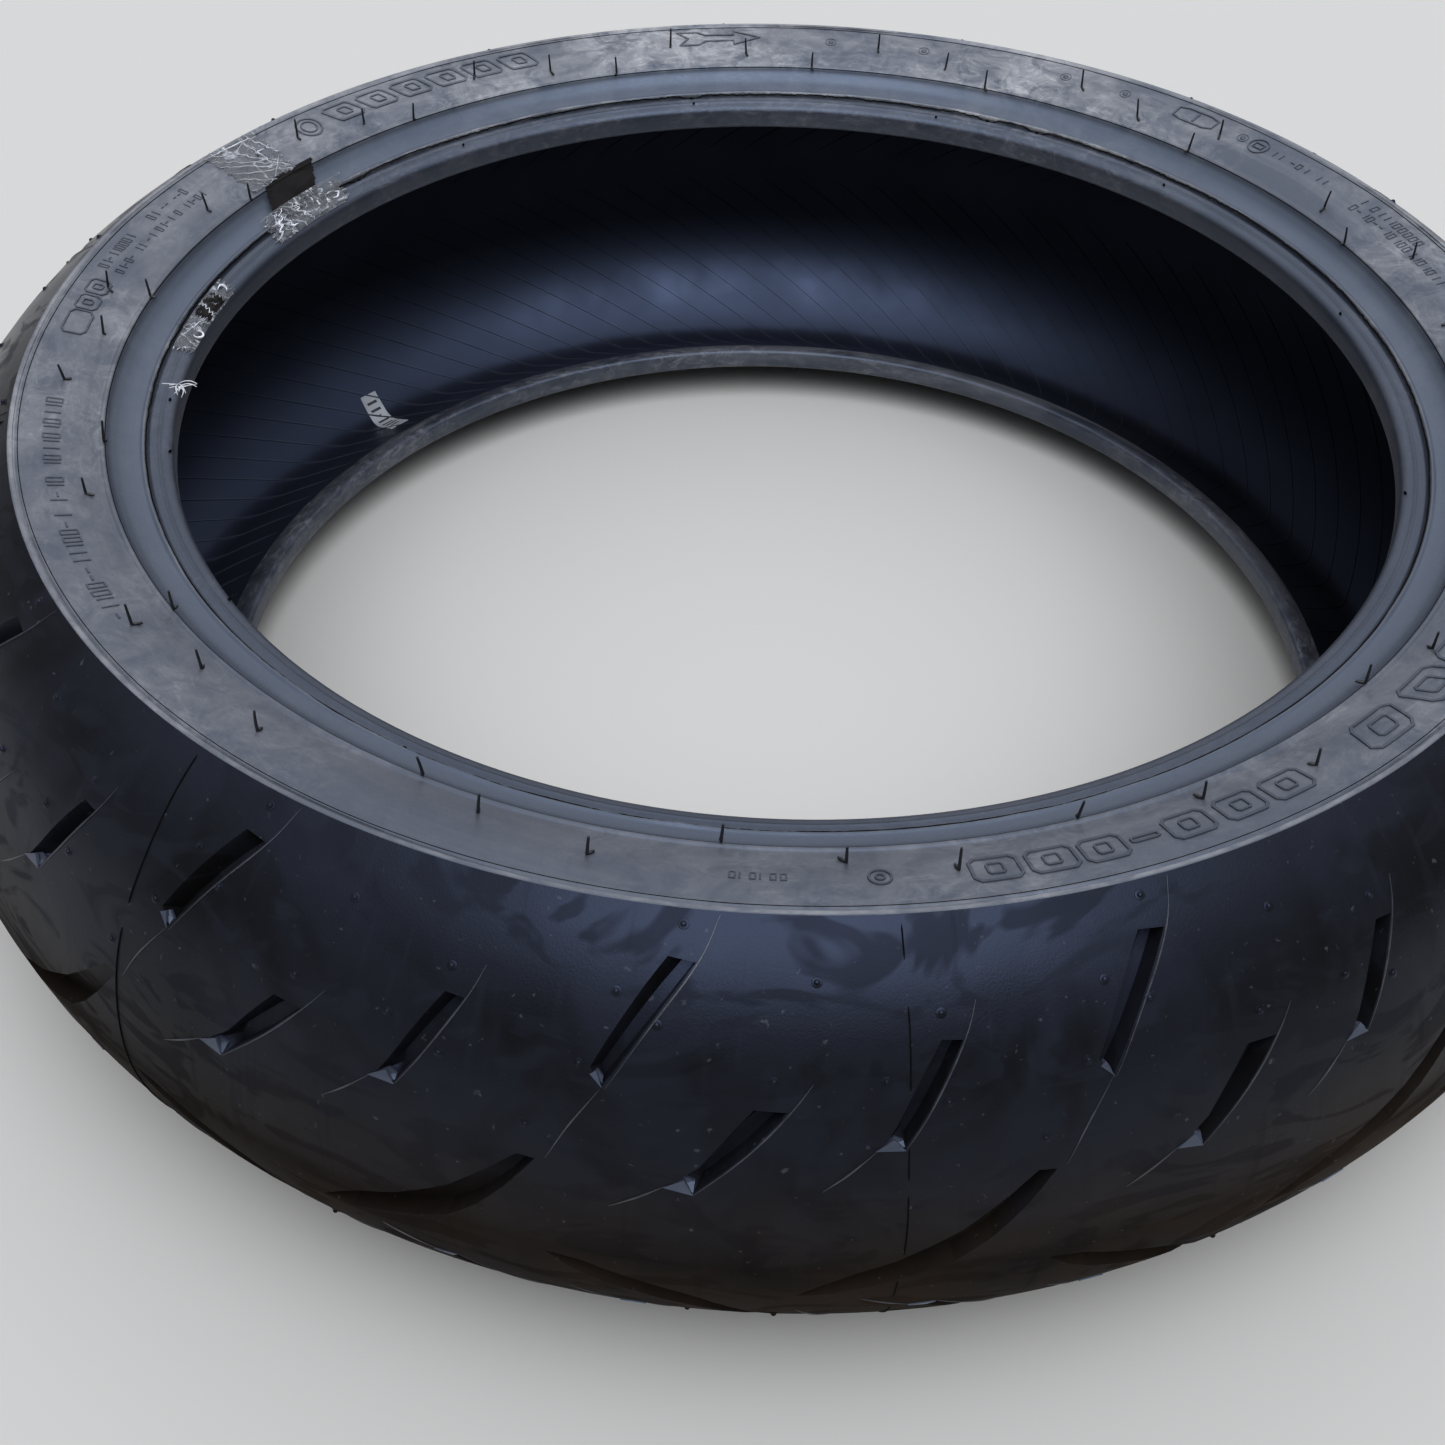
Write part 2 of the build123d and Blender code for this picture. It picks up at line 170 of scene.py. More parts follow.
class Surface(Nodes):
    """The nodes of one new material."""

    def __init__(self, name):
        self.mat = bpy.data.materials.new(name)
        self.mat.use_nodes = True
        super().__init__(self.mat.node_tree)
        self.shader = self.tree.nodes["Principled BSDF"]
        self.coords = self.add("TexCoord", {}, "Object")

    def polar(self):
        """Coordinates that run round the tire: arc length, radius, height."""
        split = self.add("SeparateXYZ", {0: self.coords}).node
        x, y, z = split.outputs
        radius = self.math("SQRT", self.plus(self.times(x, x), self.times(y, y)))
        self.radius, self.height, self.across, self.along = radius, z, y, x
        arc = self.times(self.math("ARCTAN2", y, x), ARC_SCALE)
        return self.add("CombineXYZ", {0: arc, 1: radius, 2: z})

    def stretch(self, vector, scale):
        return self.add("Mapping", {"Vector": vector, "Scale": scale})

    def noise(self, scale, detail=3.0, rough=0.55, vector=None, distort=0.0):
        return self.add("TexNoise", {"Vector": vector or self.coords, "Scale": scale, "Detail": detail,
                                     "Roughness": rough, "Distortion": distort}, "Fac")

    def mix(self, factor, a, b):
        a, b = ((*c, 1.0) if isinstance(c, tuple) else c for c in (a, b))
        return self.add("Mix", {0: factor, 6: a, 7: b}, 2, data_type="RGBA")

    def bump(self, height, strength, distance, before=None):
        return self.add("Bump", {"Strength": strength, "Distance": distance, "Height": height,
                                 "Normal": before})

    def link(self, value, socket):
        self.tree.links.new(value, self.shader.inputs[socket])

    def done(self, colour, rough, normal=None, **sockets):
        """Sets or links the shader's inputs; gives back the material."""
        if isinstance(colour, tuple):
            colour = (*colour, 1.0)
        sockets.update(Base_Color=colour, Roughness=rough, Normal=normal)
        for name, value in sockets.items():
            name = name.replace("_", " ")
            if isinstance(value, bpy.types.NodeSocket):
                self.link(value, name)
            elif value is not None:
                self.shader.inputs[name].default_value = value
        return self.mat


def side_material(name, base, overlay_tint, dust_amount, groove=False, low_painted_light=1.0):
    """Moulded sidewall rubber: satin, with a grey bloom in patches, wiped streaks and fine grain.

    groove leaves the bead groove bare, painted bluish as a sheen, and wears the outer rim.
    """
    n = Surface(name)
    polar = n.polar()
    patches = n.ramp(n.noise(7.0, 4.0, 0.6, distort=0.6), 0.40, 0.66)
    streaks = n.ramp(n.noise(48.0, 4.0, 0.65, n.stretch(polar, (0.22, 1.6, 1.0)), 0.6), 0.46, 0.72)
    grit = n.ramp(n.noise(230.0, 5.0, 0.75, n.stretch(polar, (0.45, 1.0, 1.0)), 1.2), 0.50, 0.66)
    wisps = n.ramp(n.noise(60.0, 5.0, 0.7, distort=1.0), 0.38, 0.66)
    cloud = n.times(patches, wisps, clamp=True)
    amount = n.plus(n.times(cloud, dust_amount), n.times(streaks, 0.16))
    amount = n.plus(amount, n.times(n.times(grit, patches), 0.34), clamp=True)
    # Painted light: the bloom grows towards +Y, so the far side of the tire is painted lighter.
    amount = n.times(amount, n.ramp(n.across, -0.15, 0.28, 0.46, 1.60), clamp=True)
    # Painted light: the factor below raises the bloom low down, which on the lower bead band stands for
    # the light it catches from above.
    amount = n.times(amount, n.ramp(n.height, 0.02, 0.12, low_painted_light, 1.0), clamp=True)
    grain = n.ramp(n.noise(900.0, 2.0, 0.5), 0.3, 0.7, 0.30, 0.44)
    rough = n.plus(n.ramp(n.noise(36.0, 4.0, 0.6), 0.3, 0.7, 0.02, 0.10), grain)
    if groove:
        radius = n.radius
        bare = n.times(n.ramp(radius, 0.2372, 0.2362), n.ramp(radius, 0.2254, 0.2262))
        amount = n.times(amount, n.ramp(bare, 0.0, 1.0, 1.0, 0.22))
        rough = n.math("SUBTRACT", rough, n.times(bare, 0.06))
        rim = n.times(n.ramp(radius, 0.2638, 0.2642), n.ramp(radius, 0.2659, 0.2654))
        patchy = n.noise(70.0, 4.0, 0.7, n.stretch(polar, (0.5, 1.0, 1.0)))
        worn = n.ramp(patchy, 0.42, 0.60, 0.06, 0.34)
        amount = n.plus(amount, n.times(rim, worn), clamp=True)
    colour = n.mix(amount, base, overlay_tint)
    if groove:
        # Painted sheen: the bare groove gets a bluish colour.
        colour = n.mix(n.times(bare, 0.45), colour, (0.042, 0.056, 0.080))
    rough = n.plus(rough, n.times(amount, 0.14))
    normal = n.bump(n.noise(1800.0, 3.0, 0.6), 0.25, 0.0003)
    normal = n.bump(n.noise(30.0, 3.0, 0.5), 0.30, 0.0008, normal)
    return n.done(colour, rough, normal, Specular_IOR_Level=0.80,
                  Specular_Tint=(0.62, 0.76, 1.0, 1.0))


def tread_material(name, base, light, overlay_tint):
    """Tread rubber: dark and smooth, with wiped smears painted lighter and bluish as a sheen, fine
    scratches and a painted brown floor reflection low down.

    The gloss falls off towards the floor.
    """
    n = Surface(name)
    polar = n.polar()
    smear = n.ramp(n.noise(15.0, 3.0, 0.55, distort=1.4), 0.47, 0.57)
    wiped = n.ramp(n.noise(24.0, 2.0, 0.5, n.stretch(polar, (1.0, 1.0, 2.2)), 2.5), 0.52, 0.60)
    scratch = n.ramp(n.noise(260.0, 2.0, 0.5, n.stretch(polar, (1.0, 0.1, 0.05))), 0.62, 0.72)
    fleck = n.ramp(n.noise(420.0, 2.0, 0.5), 0.70, 0.78)
    # Painted reflection: a brown tint low down, stronger towards +X, stands for the reflection of a
    # brown floor.
    low = n.ramp(n.height, 0.122, 0.072)
    floor_reflection = n.times(low, n.ramp(n.noise(16.0, 5.0, 0.65, distort=0.5), 0.25, 0.75), clamp=True)
    # Painted sheen: the smears and wiped patches are real marks, but their lighter bluish colour, which
    # fades low down, is painted sheen.
    amount = n.plus(n.times(smear, 0.22), n.times(wiped, 0.16))
    amount = n.times(amount, n.ramp(n.height, 0.082, 0.125, 0.25, 1.0), clamp=True)
    colour = n.mix(amount, base, light)
    floor_reflection = n.times(floor_reflection, n.ramp(n.along, -0.20, 0.16, 0.50, 1.15), clamp=True)
    colour = n.mix(n.times(floor_reflection, 0.85), colour, overlay_tint)
    colour = n.mix(n.times(fleck, 0.17), colour, (0.20, 0.20, 0.20))
    rough = n.plus(n.ramp(n.noise(20.0, 4.0, 0.6, distort=0.8), 0.35, 0.65, 0.27, 0.36),
                   n.times(wiped, 0.12))
    rough = n.plus(rough, n.times(scratch, 0.08))
    rough = n.plus(rough, n.times(floor_reflection, 0.12))
    rough = n.plus(rough, n.ramp(n.height, 0.085, 0.145, 0.22, 0.0))
    gloss = n.ramp(n.height, 0.085, 0.155, 0.012, 0.33)
    gloss = n.times(gloss, n.ramp(wiped, 0.0, 1.0, 1.0, 0.58))
    n.link(gloss, "Specular IOR Level")
    normal = n.bump(n.noise(1400.0, 3.0, 0.6), 0.14, 0.0003)
    normal = n.bump(n.noise(24.0, 2.0, 0.5), 0.28, 0.0010, normal)
    return n.done(colour, rough, normal, Specular_Tint=(0.49, 0.62, 1.0, 1.0))


def plain_material(name, low, high, rough, scale, bump, **sockets):
    """One even surface: colour between low and high, roughness round rough, fine bump."""
    n = Surface(name)
    colour = n.mix(n.ramp(n.noise(scale, 4.0, 0.6), 0.35, 0.65), low, high)
    normal = n.bump(n.noise(scale * 9.0, 3.0, 0.6), bump, 0.0004)
    spread = n.ramp(n.noise(scale * 2.0, 3.0, 0.6), 0.3, 0.7, rough - 0.06, rough + 0.08)
    return n.done(colour, spread, normal, **sockets)


def liner_material(name, dark, light, sheen_colour, gloss):
    """Inner liner rubber: black and dull round the crown, with a blue sheen painted into its colour
    towards the beads, cut back towards +X as painted shade.
    """
    n = Surface(name)
    n.polar()
    away = n.math("ABSOLUTE", n.math("SUBTRACT", n.height, MID * MM))
    # Painted sheen and shade: a blue colour towards the beads, cut back towards +X as painted shade.
    # The gloss rises with it.
    sheen = n.times(n.ramp(away, 0.026, 0.068), n.ramp(n.along, 0.05, 0.20, 1.0, 0.12),
                   clamp=True)
    colour = n.mix(n.ramp(n.noise(18.0, 4.0, 0.6), 0.35, 0.65), dark, light)
    colour = n.mix(n.times(sheen, 0.75), colour, sheen_colour)
    rough = n.ramp(n.noise(36.0, 3.0, 0.6), 0.3, 0.7, 0.32, 0.46)
    rough = n.plus(rough, n.ramp(sheen, 0.0, 0.5, 0.16, 0.0))
    n.link(n.ramp(sheen, 0.0, 1.0, gloss, 1.0), "Specular IOR Level")
    normal = n.bump(n.noise(162.0, 3.0, 0.6), 0.12, 0.0004)
    return n.done(colour, rough, normal, Specular_Tint=(0.48, 0.62, 1.0, 1.0))


def cord_material(name, gap, cord, pitch, direction):
    """Parallel cords in rubber, running round the tire or across it."""
    n = Surface(name)
    wave = n.add("TexWave", {"Vector": n.polar(), "Scale": pitch, "Distortion": 0.15}, "Fac",
                 bands_direction=direction)
    colour = n.mix(wave, gap, cord)
    colour = n.mix(n.ramp(n.noise(90.0), 0.4, 0.7, 0.0, 0.35), colour, gap)
    rough = n.ramp(n.noise(120.0), 0.3, 0.7, 0.55, 0.75)
    return n.done(colour, rough, n.bump(wave, 0.5, 0.0006))


SIDE = side_material("sidewall_rubber", (0.048, 0.050, 0.058), (0.37, 0.36, 0.345), 0.54,
                     groove=True)
BAND = side_material("bead_band_rubber", (0.021, 0.023, 0.030), (0.15, 0.15, 0.16), 0.16,
                     low_painted_light=2.6)
MARK = side_material("raised_mark_rubber", (0.026, 0.027, 0.032), (0.18, 0.18, 0.185), 0.26)
TREAD = tread_material("tread_rubber", (0.0056, 0.0052, 0.0052), (0.017, 0.019, 0.028),
                       (0.036, 0.024, 0.015))
GAP = plain_material("dark_gap", (0.002, 0.002, 0.002), (0.004, 0.004, 0.004), 0.9, 300.0, 0.2,
                     Specular_IOR_Level=0.05)
# Painted sheen: the groove ramps are lighter and bluish.
RAMP_SHEEN = plain_material("groove_ramp_sheen", (0.036, 0.041, 0.056), (0.052, 0.058, 0.078), 0.34,
                      160.0, 0.1, Specular_IOR_Level=0.6, Specular_Tint=(0.6, 0.75, 1.0, 1.0))
# Painted highlight: the raised groove lips are lighter than the tread.
LIP_HIGHLIGHT = plain_material("groove_lip_highlight", (0.020, 0.021, 0.026), (0.040, 0.043, 0.052), 0.36,
                     160.0, 0.2, Specular_IOR_Level=0.5)
HAIR = plain_material("hair_rubber", (0.006, 0.006, 0.007), (0.014, 0.014, 0.016), 0.42, 300.0, 0.2)
LINER = liner_material("liner_rubber", (0.0035, 0.0035, 0.0040), (0.0065, 0.0066, 0.0080),
                       (0.0165, 0.0185, 0.0285), 0.26)
# The ridges take a lighter sheen colour: painted glints on the ridges towards the beads.
RIDGE = liner_material("liner_ridge_rubber", (0.0040, 0.0041, 0.0048), (0.0075, 0.0078, 0.0092),
                       (0.045, 0.049, 0.062), 0.20)
INNER_DARK = plain_material("inner_rubber", (0.015, 0.015, 0.015), (0.03, 0.03, 0.03), 0.6, 80.0, 0.3)
CORDS_ROUND = cord_material("belt_cords", (0.02, 0.018, 0.016), (0.30, 0.22, 0.12), 60.0, "Y")
CORDS_ACROSS = cord_material("ply_cords", (0.02, 0.018, 0.016), (0.25, 0.20, 0.14), 90.0, "X")
WIRE = plain_material("bead_wire", (0.35, 0.30, 0.22), (0.55, 0.50, 0.42), 0.35, 400.0, 0.4,
                      Metallic=0.9)
# Painted shade: the white label paper is given a grey colour.
SHADED_LABEL = plain_material("label_paper", (0.44, 0.46, 0.48), (0.55, 0.57, 0.59), 0.6, 60.0, 0.15)
INK = plain_material("label_ink", (0.02, 0.02, 0.03), (0.05, 0.05, 0.07), 0.6, 200.0, 0.1)
FIBRE = plain_material("white_fibre", (0.6, 0.6, 0.6), (0.85, 0.85, 0.85), 0.6, 500.0, 0.1)
NEAR_BLACK_SHEET = plain_material("near_black_sheet", (0.0035, 0.003, 0.0028), (0.010, 0.008, 0.0075), 0.34,
                           70.0, 0.3, Specular_IOR_Level=0.07)


def film_material():
    """Clear wrapping film: see-through and glossy, with white creases and glints that are painted
    highlights.
    """
    n = Surface("clear_film")
    crease = n.math("ABSOLUTE", n.math("SUBTRACT", n.noise(60.0, 2.0, 0.5, distort=1.5), 0.5))
    crease = n.ramp(crease, 0.020, 0.004)
    glint = n.ramp(n.noise(430.0, 3.0, 0.6, distort=1.0), 0.58, 0.66)
    patch = n.ramp(n.noise(34.0, 2.0, 0.5), 0.38, 0.60)
    # Painted highlights: creases and glints are white and less see-through.
    painted_highlight = n.plus(n.times(crease, 0.35),
                   n.times(n.times(glint, patch), 0.48), clamp=True)
    colour = n.mix(painted_highlight, (0.050, 0.053, 0.060), (0.80, 0.82, 0.86))
    n.link(n.ramp(painted_highlight, 0.0, 0.6, 0.34, 0.95), "Alpha")
    normal = n.bump(n.noise(70.0, 3.0, 0.5, distort=1.5), 0.9, 0.0025)
    rough = n.ramp(n.noise(60.0, 4.0, 0.6), 0.3, 0.7, 0.05, 0.18)
    return n.done(colour, rough, normal, Specular_IOR_Level=1.0, Coat_Weight=1.0)


FILM = film_material()
# Painted highlight: white ribbons along the film's folds and curls.
CREASE_HIGHLIGHT = plain_material("film_crease", (0.45, 0.47, 0.50), (0.85, 0.87, 0.90), 0.22, 300.0,
                        0.2, Specular_IOR_Level=0.9)

# ---- mesh helpers ----------------------------------------------------------------


def build(name, points, faces, material, sharp=40.0):
    """New object on the root body from points in millimetres; edges over sharp degrees stay sharp."""
    mesh = bpy.data.meshes.new(name)
    mesh.from_pydata([tuple(c * MM for c in p) for p in points], [], faces)
    mesh.update()
    mesh.shade_smooth()
    mesh.set_sharp_from_angle(angle=math.radians(sharp))
    mesh.materials.append(material)
    obj = bpy.data.objects.new(name, mesh)
    bpy.context.scene.collection.objects.link(obj)
    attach(obj, "root")
    return obj


def smooth_run(points, steps):
    """Catmull-Rom curve through a list of points, with the given steps between neighbours."""
    pts = [np.array(p, float) for p in points]
    pts = [2 * pts[0] - pts[1]] + pts + [2 * pts[-1] - pts[-2]]
    out = []
    for i in range(1, len(pts) - 2):
        a, b, c, d = pts[i - 1:i + 3]
        for k in range(steps):
            t = k / steps
            out.append(tuple(0.5 * (2 * b + (c - a) * t + (2 * a - 5 * b + 4 * c - d) * t * t
                                    + (3 * b - a - 3 * c + d) * t ** 3)))
    out.append(tuple(pts[-2]))
    return out


def lathe(name, loop, segments, material, side=1, sharp=40.0, wobble=None):
    """Ring with the closed outline loop; wobble(angle, index) moves outline points."""
    count = len(loop)
    points = []
    for k in range(segments):
        turn = 2 * math.pi * k / segments
        for i, (r, z) in enumerate(loop):
            if wobble is not None:
                dr, dz = wobble(turn, i)
                r, z = r + dr, z + dz
            points.append((r * math.cos(turn), r * math.sin(turn), MID + side * z))
    faces = []
    for k in range(segments):
        a, b = k * count, ((k + 1) % segments) * count
        for i in range(count):
            j = (i + 1) % count
            face = (a + i, b + i, b + j, a + j)
            faces.append(face if side < 0 else face[::-1])
    return build(name, points, faces, material, sharp)


class Strokes:
    """Raised ribbons that follow a surface, gathered into one mesh."""

    def __init__(self):
        self.points = []
        self.faces = []

    def add(self, path, width, height, closed=False, taper=0.0):
        """path is a list of (point, normal)."""
        n = len(path)
        first = len(self.points)
        for i, (p, normal) in enumerate(path):
            before = path[i - 1][0] if (closed or i > 0) else p
            after = path[(i + 1) % n][0] if (closed or i < n - 1) else p
            along = (after - before).normalized()
            across = along.cross(normal).normalized()
            w, h = width, height
            if taper and not closed:
                end = min(i, n - 1 - i) / max(1.0, taper * (n - 1))
                w = width * min(1.0, 0.25 + 0.75 * end)
                h = height * min(1.0, 0.25 + 0.75 * end)
            foot = w / 2 + 0.35 * h
            for x, y in ((-foot, -0.25), (-w / 2, h), (w / 2, h), (foot, -0.25)):
                self.points.append(p + across * x + normal * y)
        spans = n if closed else n - 1
        for i in range(spans):
            a = first + 4 * i
            b = first + 4 * ((i + 1) % n)
            for k in range(3):
                self.faces.append((a + k, a + k + 1, b + k + 1, b + k))
            self.faces.append((a + 3, a, b, b + 3))
        if not closed:
            self.faces.append((first + 3, first + 2, first + 1, first))
            last = first + 4 * (n - 1)
            self.faces.append((last, last + 1, last + 2, last + 3))

    def dome(self, point, normal, radius, height, sides=10):
        """Small rounded button."""
        ref = Vector((0, 0, 1)) if abs(normal.z) < 0.9 else Vector((1, 0, 0))
        u = normal.cross(ref).normalized()
        v = normal.cross(u)
        first = len(self.points)
        rings = ((1.0, -0.2), (0.95, 0.45), (0.65, 0.85), (0.3, 1.0))
        for scale, up in rings:
            for k in range(sides):
                t = 2 * math.pi * k / sides
                self.points.append(point + (u * math.cos(t) + v * math.sin(t)) * radius * scale
                                   + normal * height * up)
        for ring_no in range(len(rings) - 1):
            for k in range(sides):
                a = first + ring_no * sides + k
                b = first + ring_no * sides + (k + 1) % sides
                self.faces.append((a, b, b + sides, a + sides))
        top = first + (len(rings) - 1) * sides
        self.faces.append(tuple(top + k for k in range(sides)))
        self.faces.append(tuple(first + k for k in reversed(range(sides))))

    def make(self, name, material, slot, sharp=30.0):
        return build(name, self.points, self.faces, material, sharp)


# ---- sidewalls, bead bands, liner --------------------------------------------------

face_run = [(r, face_height(r)) for r in np.linspace(262.2, 239.6, 26)]
side_outer = ([(266.03, 86.0), (265.4, 85.98), (264.9, 86.0), (264.5, 85.95), (264.2, 85.55),
               (263.8, 85.4), (263.4, 85.55), (263.0, 85.62), (262.6, 85.4)]
              + face_run
              + [(239.0, 78.75), (238.6, 78.72), (238.2, 78.95), (237.7, 79.05), (237.2, 78.95),
                 (236.8, 78.5), (236.4, 77.6), (236.1, 76.95)]
              + smooth_run([(235.3, 76.0), (233.4, 74.3), (231.4, 73.1), (229.0, 72.2),
                            (227.2, 71.75)], 4)
              + [(226.6, 71.75), (226.2, 71.95), (225.7, 72.0), (225.35, 71.75), (225.15, 71.2),
                 (225.05, 70.6)])
side_back = [(226.0, 69.95), wall(17.0, 6.6), wall(17.0, 7.6), wall(8.5, 4.75), wall(2.8, 3.55),
             wall(0, 3.55), shoulder(math.radians(87.0), 3.55), shoulder(SHOULDER_A, 3.55),
             crown(math.radians(54.05), 10.85), crown(math.radians(54.1), 8.0),
             crown(math.radians(55.6), 6.0)]

SIDE_STEPS, BAND_STEPS, LINER_STEPS = 1440, 1080, 720       # round the tire
random.seed(11)
JAG_FINE = [random.random() for _ in range(1440)]
JAG_COARSE = [random.random() for _ in range(90)]


def jag(turn):
    """Uneven height of the moulding flash round the bead, 0 to 1."""
    k = turn / (2 * math.pi)
    fine = JAG_FINE[int(k * len(JAG_FINE)) % len(JAG_FINE)]
    x = k * len(JAG_COARSE)
    low, high = (JAG_COARSE[(int(x) + step) % len(JAG_COARSE)] for step in (0, 1))
    coarse = low + (high - low) * (x - int(x))
    return max(0.0, coarse - 0.35) * (0.5 + 0.5 * fine) * 1.4


def side_wobble(turn, i):
    """Moves the points of the inner lip and of the step under the outer rim."""
    lip = i - (len(side_outer) - 6)
    if lip in (1, 2, 3):
        return -0.35 * jag(turn), 0.55 * jag(turn)
    if lip == 4:
        return -0.45 * jag(turn), 0.1
    if i in (4, 5):
        return 0.25 * math.sin(7 * turn) * math.sin(3 * turn + 1.0), -0.12 * (1 + math.sin(5 * turn))
    return 0.0, 0.0


for side, tag in ((1, "upper"), (-1, "lower")):
    wallpiece = lathe("sidewall_skin_" + tag, side_outer + side_back, SIDE_STEPS, SIDE,
                      side, 50.0, side_wobble)
    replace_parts(wallpiece, "sidewall_" + tag)

band_outer = [(225.0, 70.45), (224.75, 69.75), (224.4, 69.75), (224.0, 70.1), (223.4, 70.05),
              (222.2, 69.75), (221.4, 69.55), (221.1, 69.7), (220.7, 69.7), (220.4, 69.35),
              (219.6, 69.05), (218.6, 68.8),
              (217.8, 68.4), (217.1, 67.8), (216.7, 67.2), (216.5, 66.6), (216.5, 64.5), (216.5, 62.5),
              (216.5, 61.0), (216.6, 60.3), (217.0, 59.5), (217.8, 59.0), (219.0, 58.9), (221.6, 59.1),
              wall(28.5, 0.0), wall(27.1, 0.0)]
band_back = [wall(27.1, 1.45), wall(28.6, 1.45), (223.5, 61.3), (220.2, 62.0), (218.9, 64.5),
             (219.3, 67.5), (222.2, 69.2), (226.0, 69.85)]
for side, tag in ((1, "upper"), (-1, "lower")):
    band = lathe("bead_band_" + tag, band_outer + band_back, BAND_STEPS, BAND,
                 side, 50.0)
    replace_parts(band, "chafer_" + tag)

LINER_END = 27.0                # length along the wall past the shoulder corner
LINER_T = 1.45
liner_q = LINER_ARC * SHOULDER_A + SHOULDER_R * (math.pi / 2 + WALL_A - SHOULDER_A) + LINER_END
liner_loop = [liner_section(q)[:2] for q in np.linspace(liner_q, -liner_q, 121)]
liner_back = []
for q in np.linspace(-liner_q, liner_q, 61):
    r, z, nr, nz = liner_section(q)
    liner_back.append((r - nr * LINER_T, z - nz * LINER_T))
liner = lathe("liner_skin", liner_loop + liner_back, LINER_STEPS, LINER, 1, 50.0)
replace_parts(liner, "inner_liner")

# Slanting vent ridges that the curing bladder leaves on the liner.
ridges = Strokes()
RIDGES = 100
for k in range(RIDGES):
    for half in (-1, 1):
        start = 360.0 * k / RIDGES
        path = []
        for q in np.linspace(8.0, 121.0, 30):
            bend = -0.27 * (min(q, 92.0) - 60.0) - 0.10 * max(0.0, q - 92.0)
            path.append(liner_point(start + bend + (1.8 if half > 0 else 0.0), half * q))
        ridges.add(path, 0.62, 0.46, taper=0.08)
ridges.make("liner_ridges", RIDGE, "liner_rubber")

# ---- raised marks on the sidewalls: plain shapes in place of lettering --------------

DEGREE = 4.4                    # mm along the marks' middle line in one degree


def arc_path(points, side, closed):
    """Fine path over the sidewall through (a, r) corner points."""
    out = []
    ends = points + [points[0]] if closed else points
    for (a0, r0), (a1, r1) in zip(ends, ends[1:]):
        steps = max(1, int(math.hypot((a1 - a0) * DEGREE, r1 - r0) / 1.2))
        for k in range(steps):
            t = k / steps
            out.append(side_point(a0 + (a1 - a0) * t, r0 + (r1 - r0) * t, side))
    if not closed:
        out.append(side_point(*ends[-1], side))
    return out


def circle(a, r, radius, count=28):
    return [(a + radius * math.cos(t) / DEGREE, r + radius * math.sin(t))
            for t in (2 * math.pi * k / count for k in range(count))]


def block(a0, a1, r0, r1, slant=0.0, cut=0.35):
    """Block outline with clipped corners; slant moves its outer edge along."""
    c = min(cut, (a1 - a0) * 0.3)
    h = (r1 - r0) * 0.16
    return [(a0 + c, r0), (a1 - c, r0), (a1, r0 + h), (a1 + slant, r1 - h), (a1 + slant - c, r1),
            (a0 + slant + c, r1), (a0 + slant, r1 - h), (a0, r0 + h)]


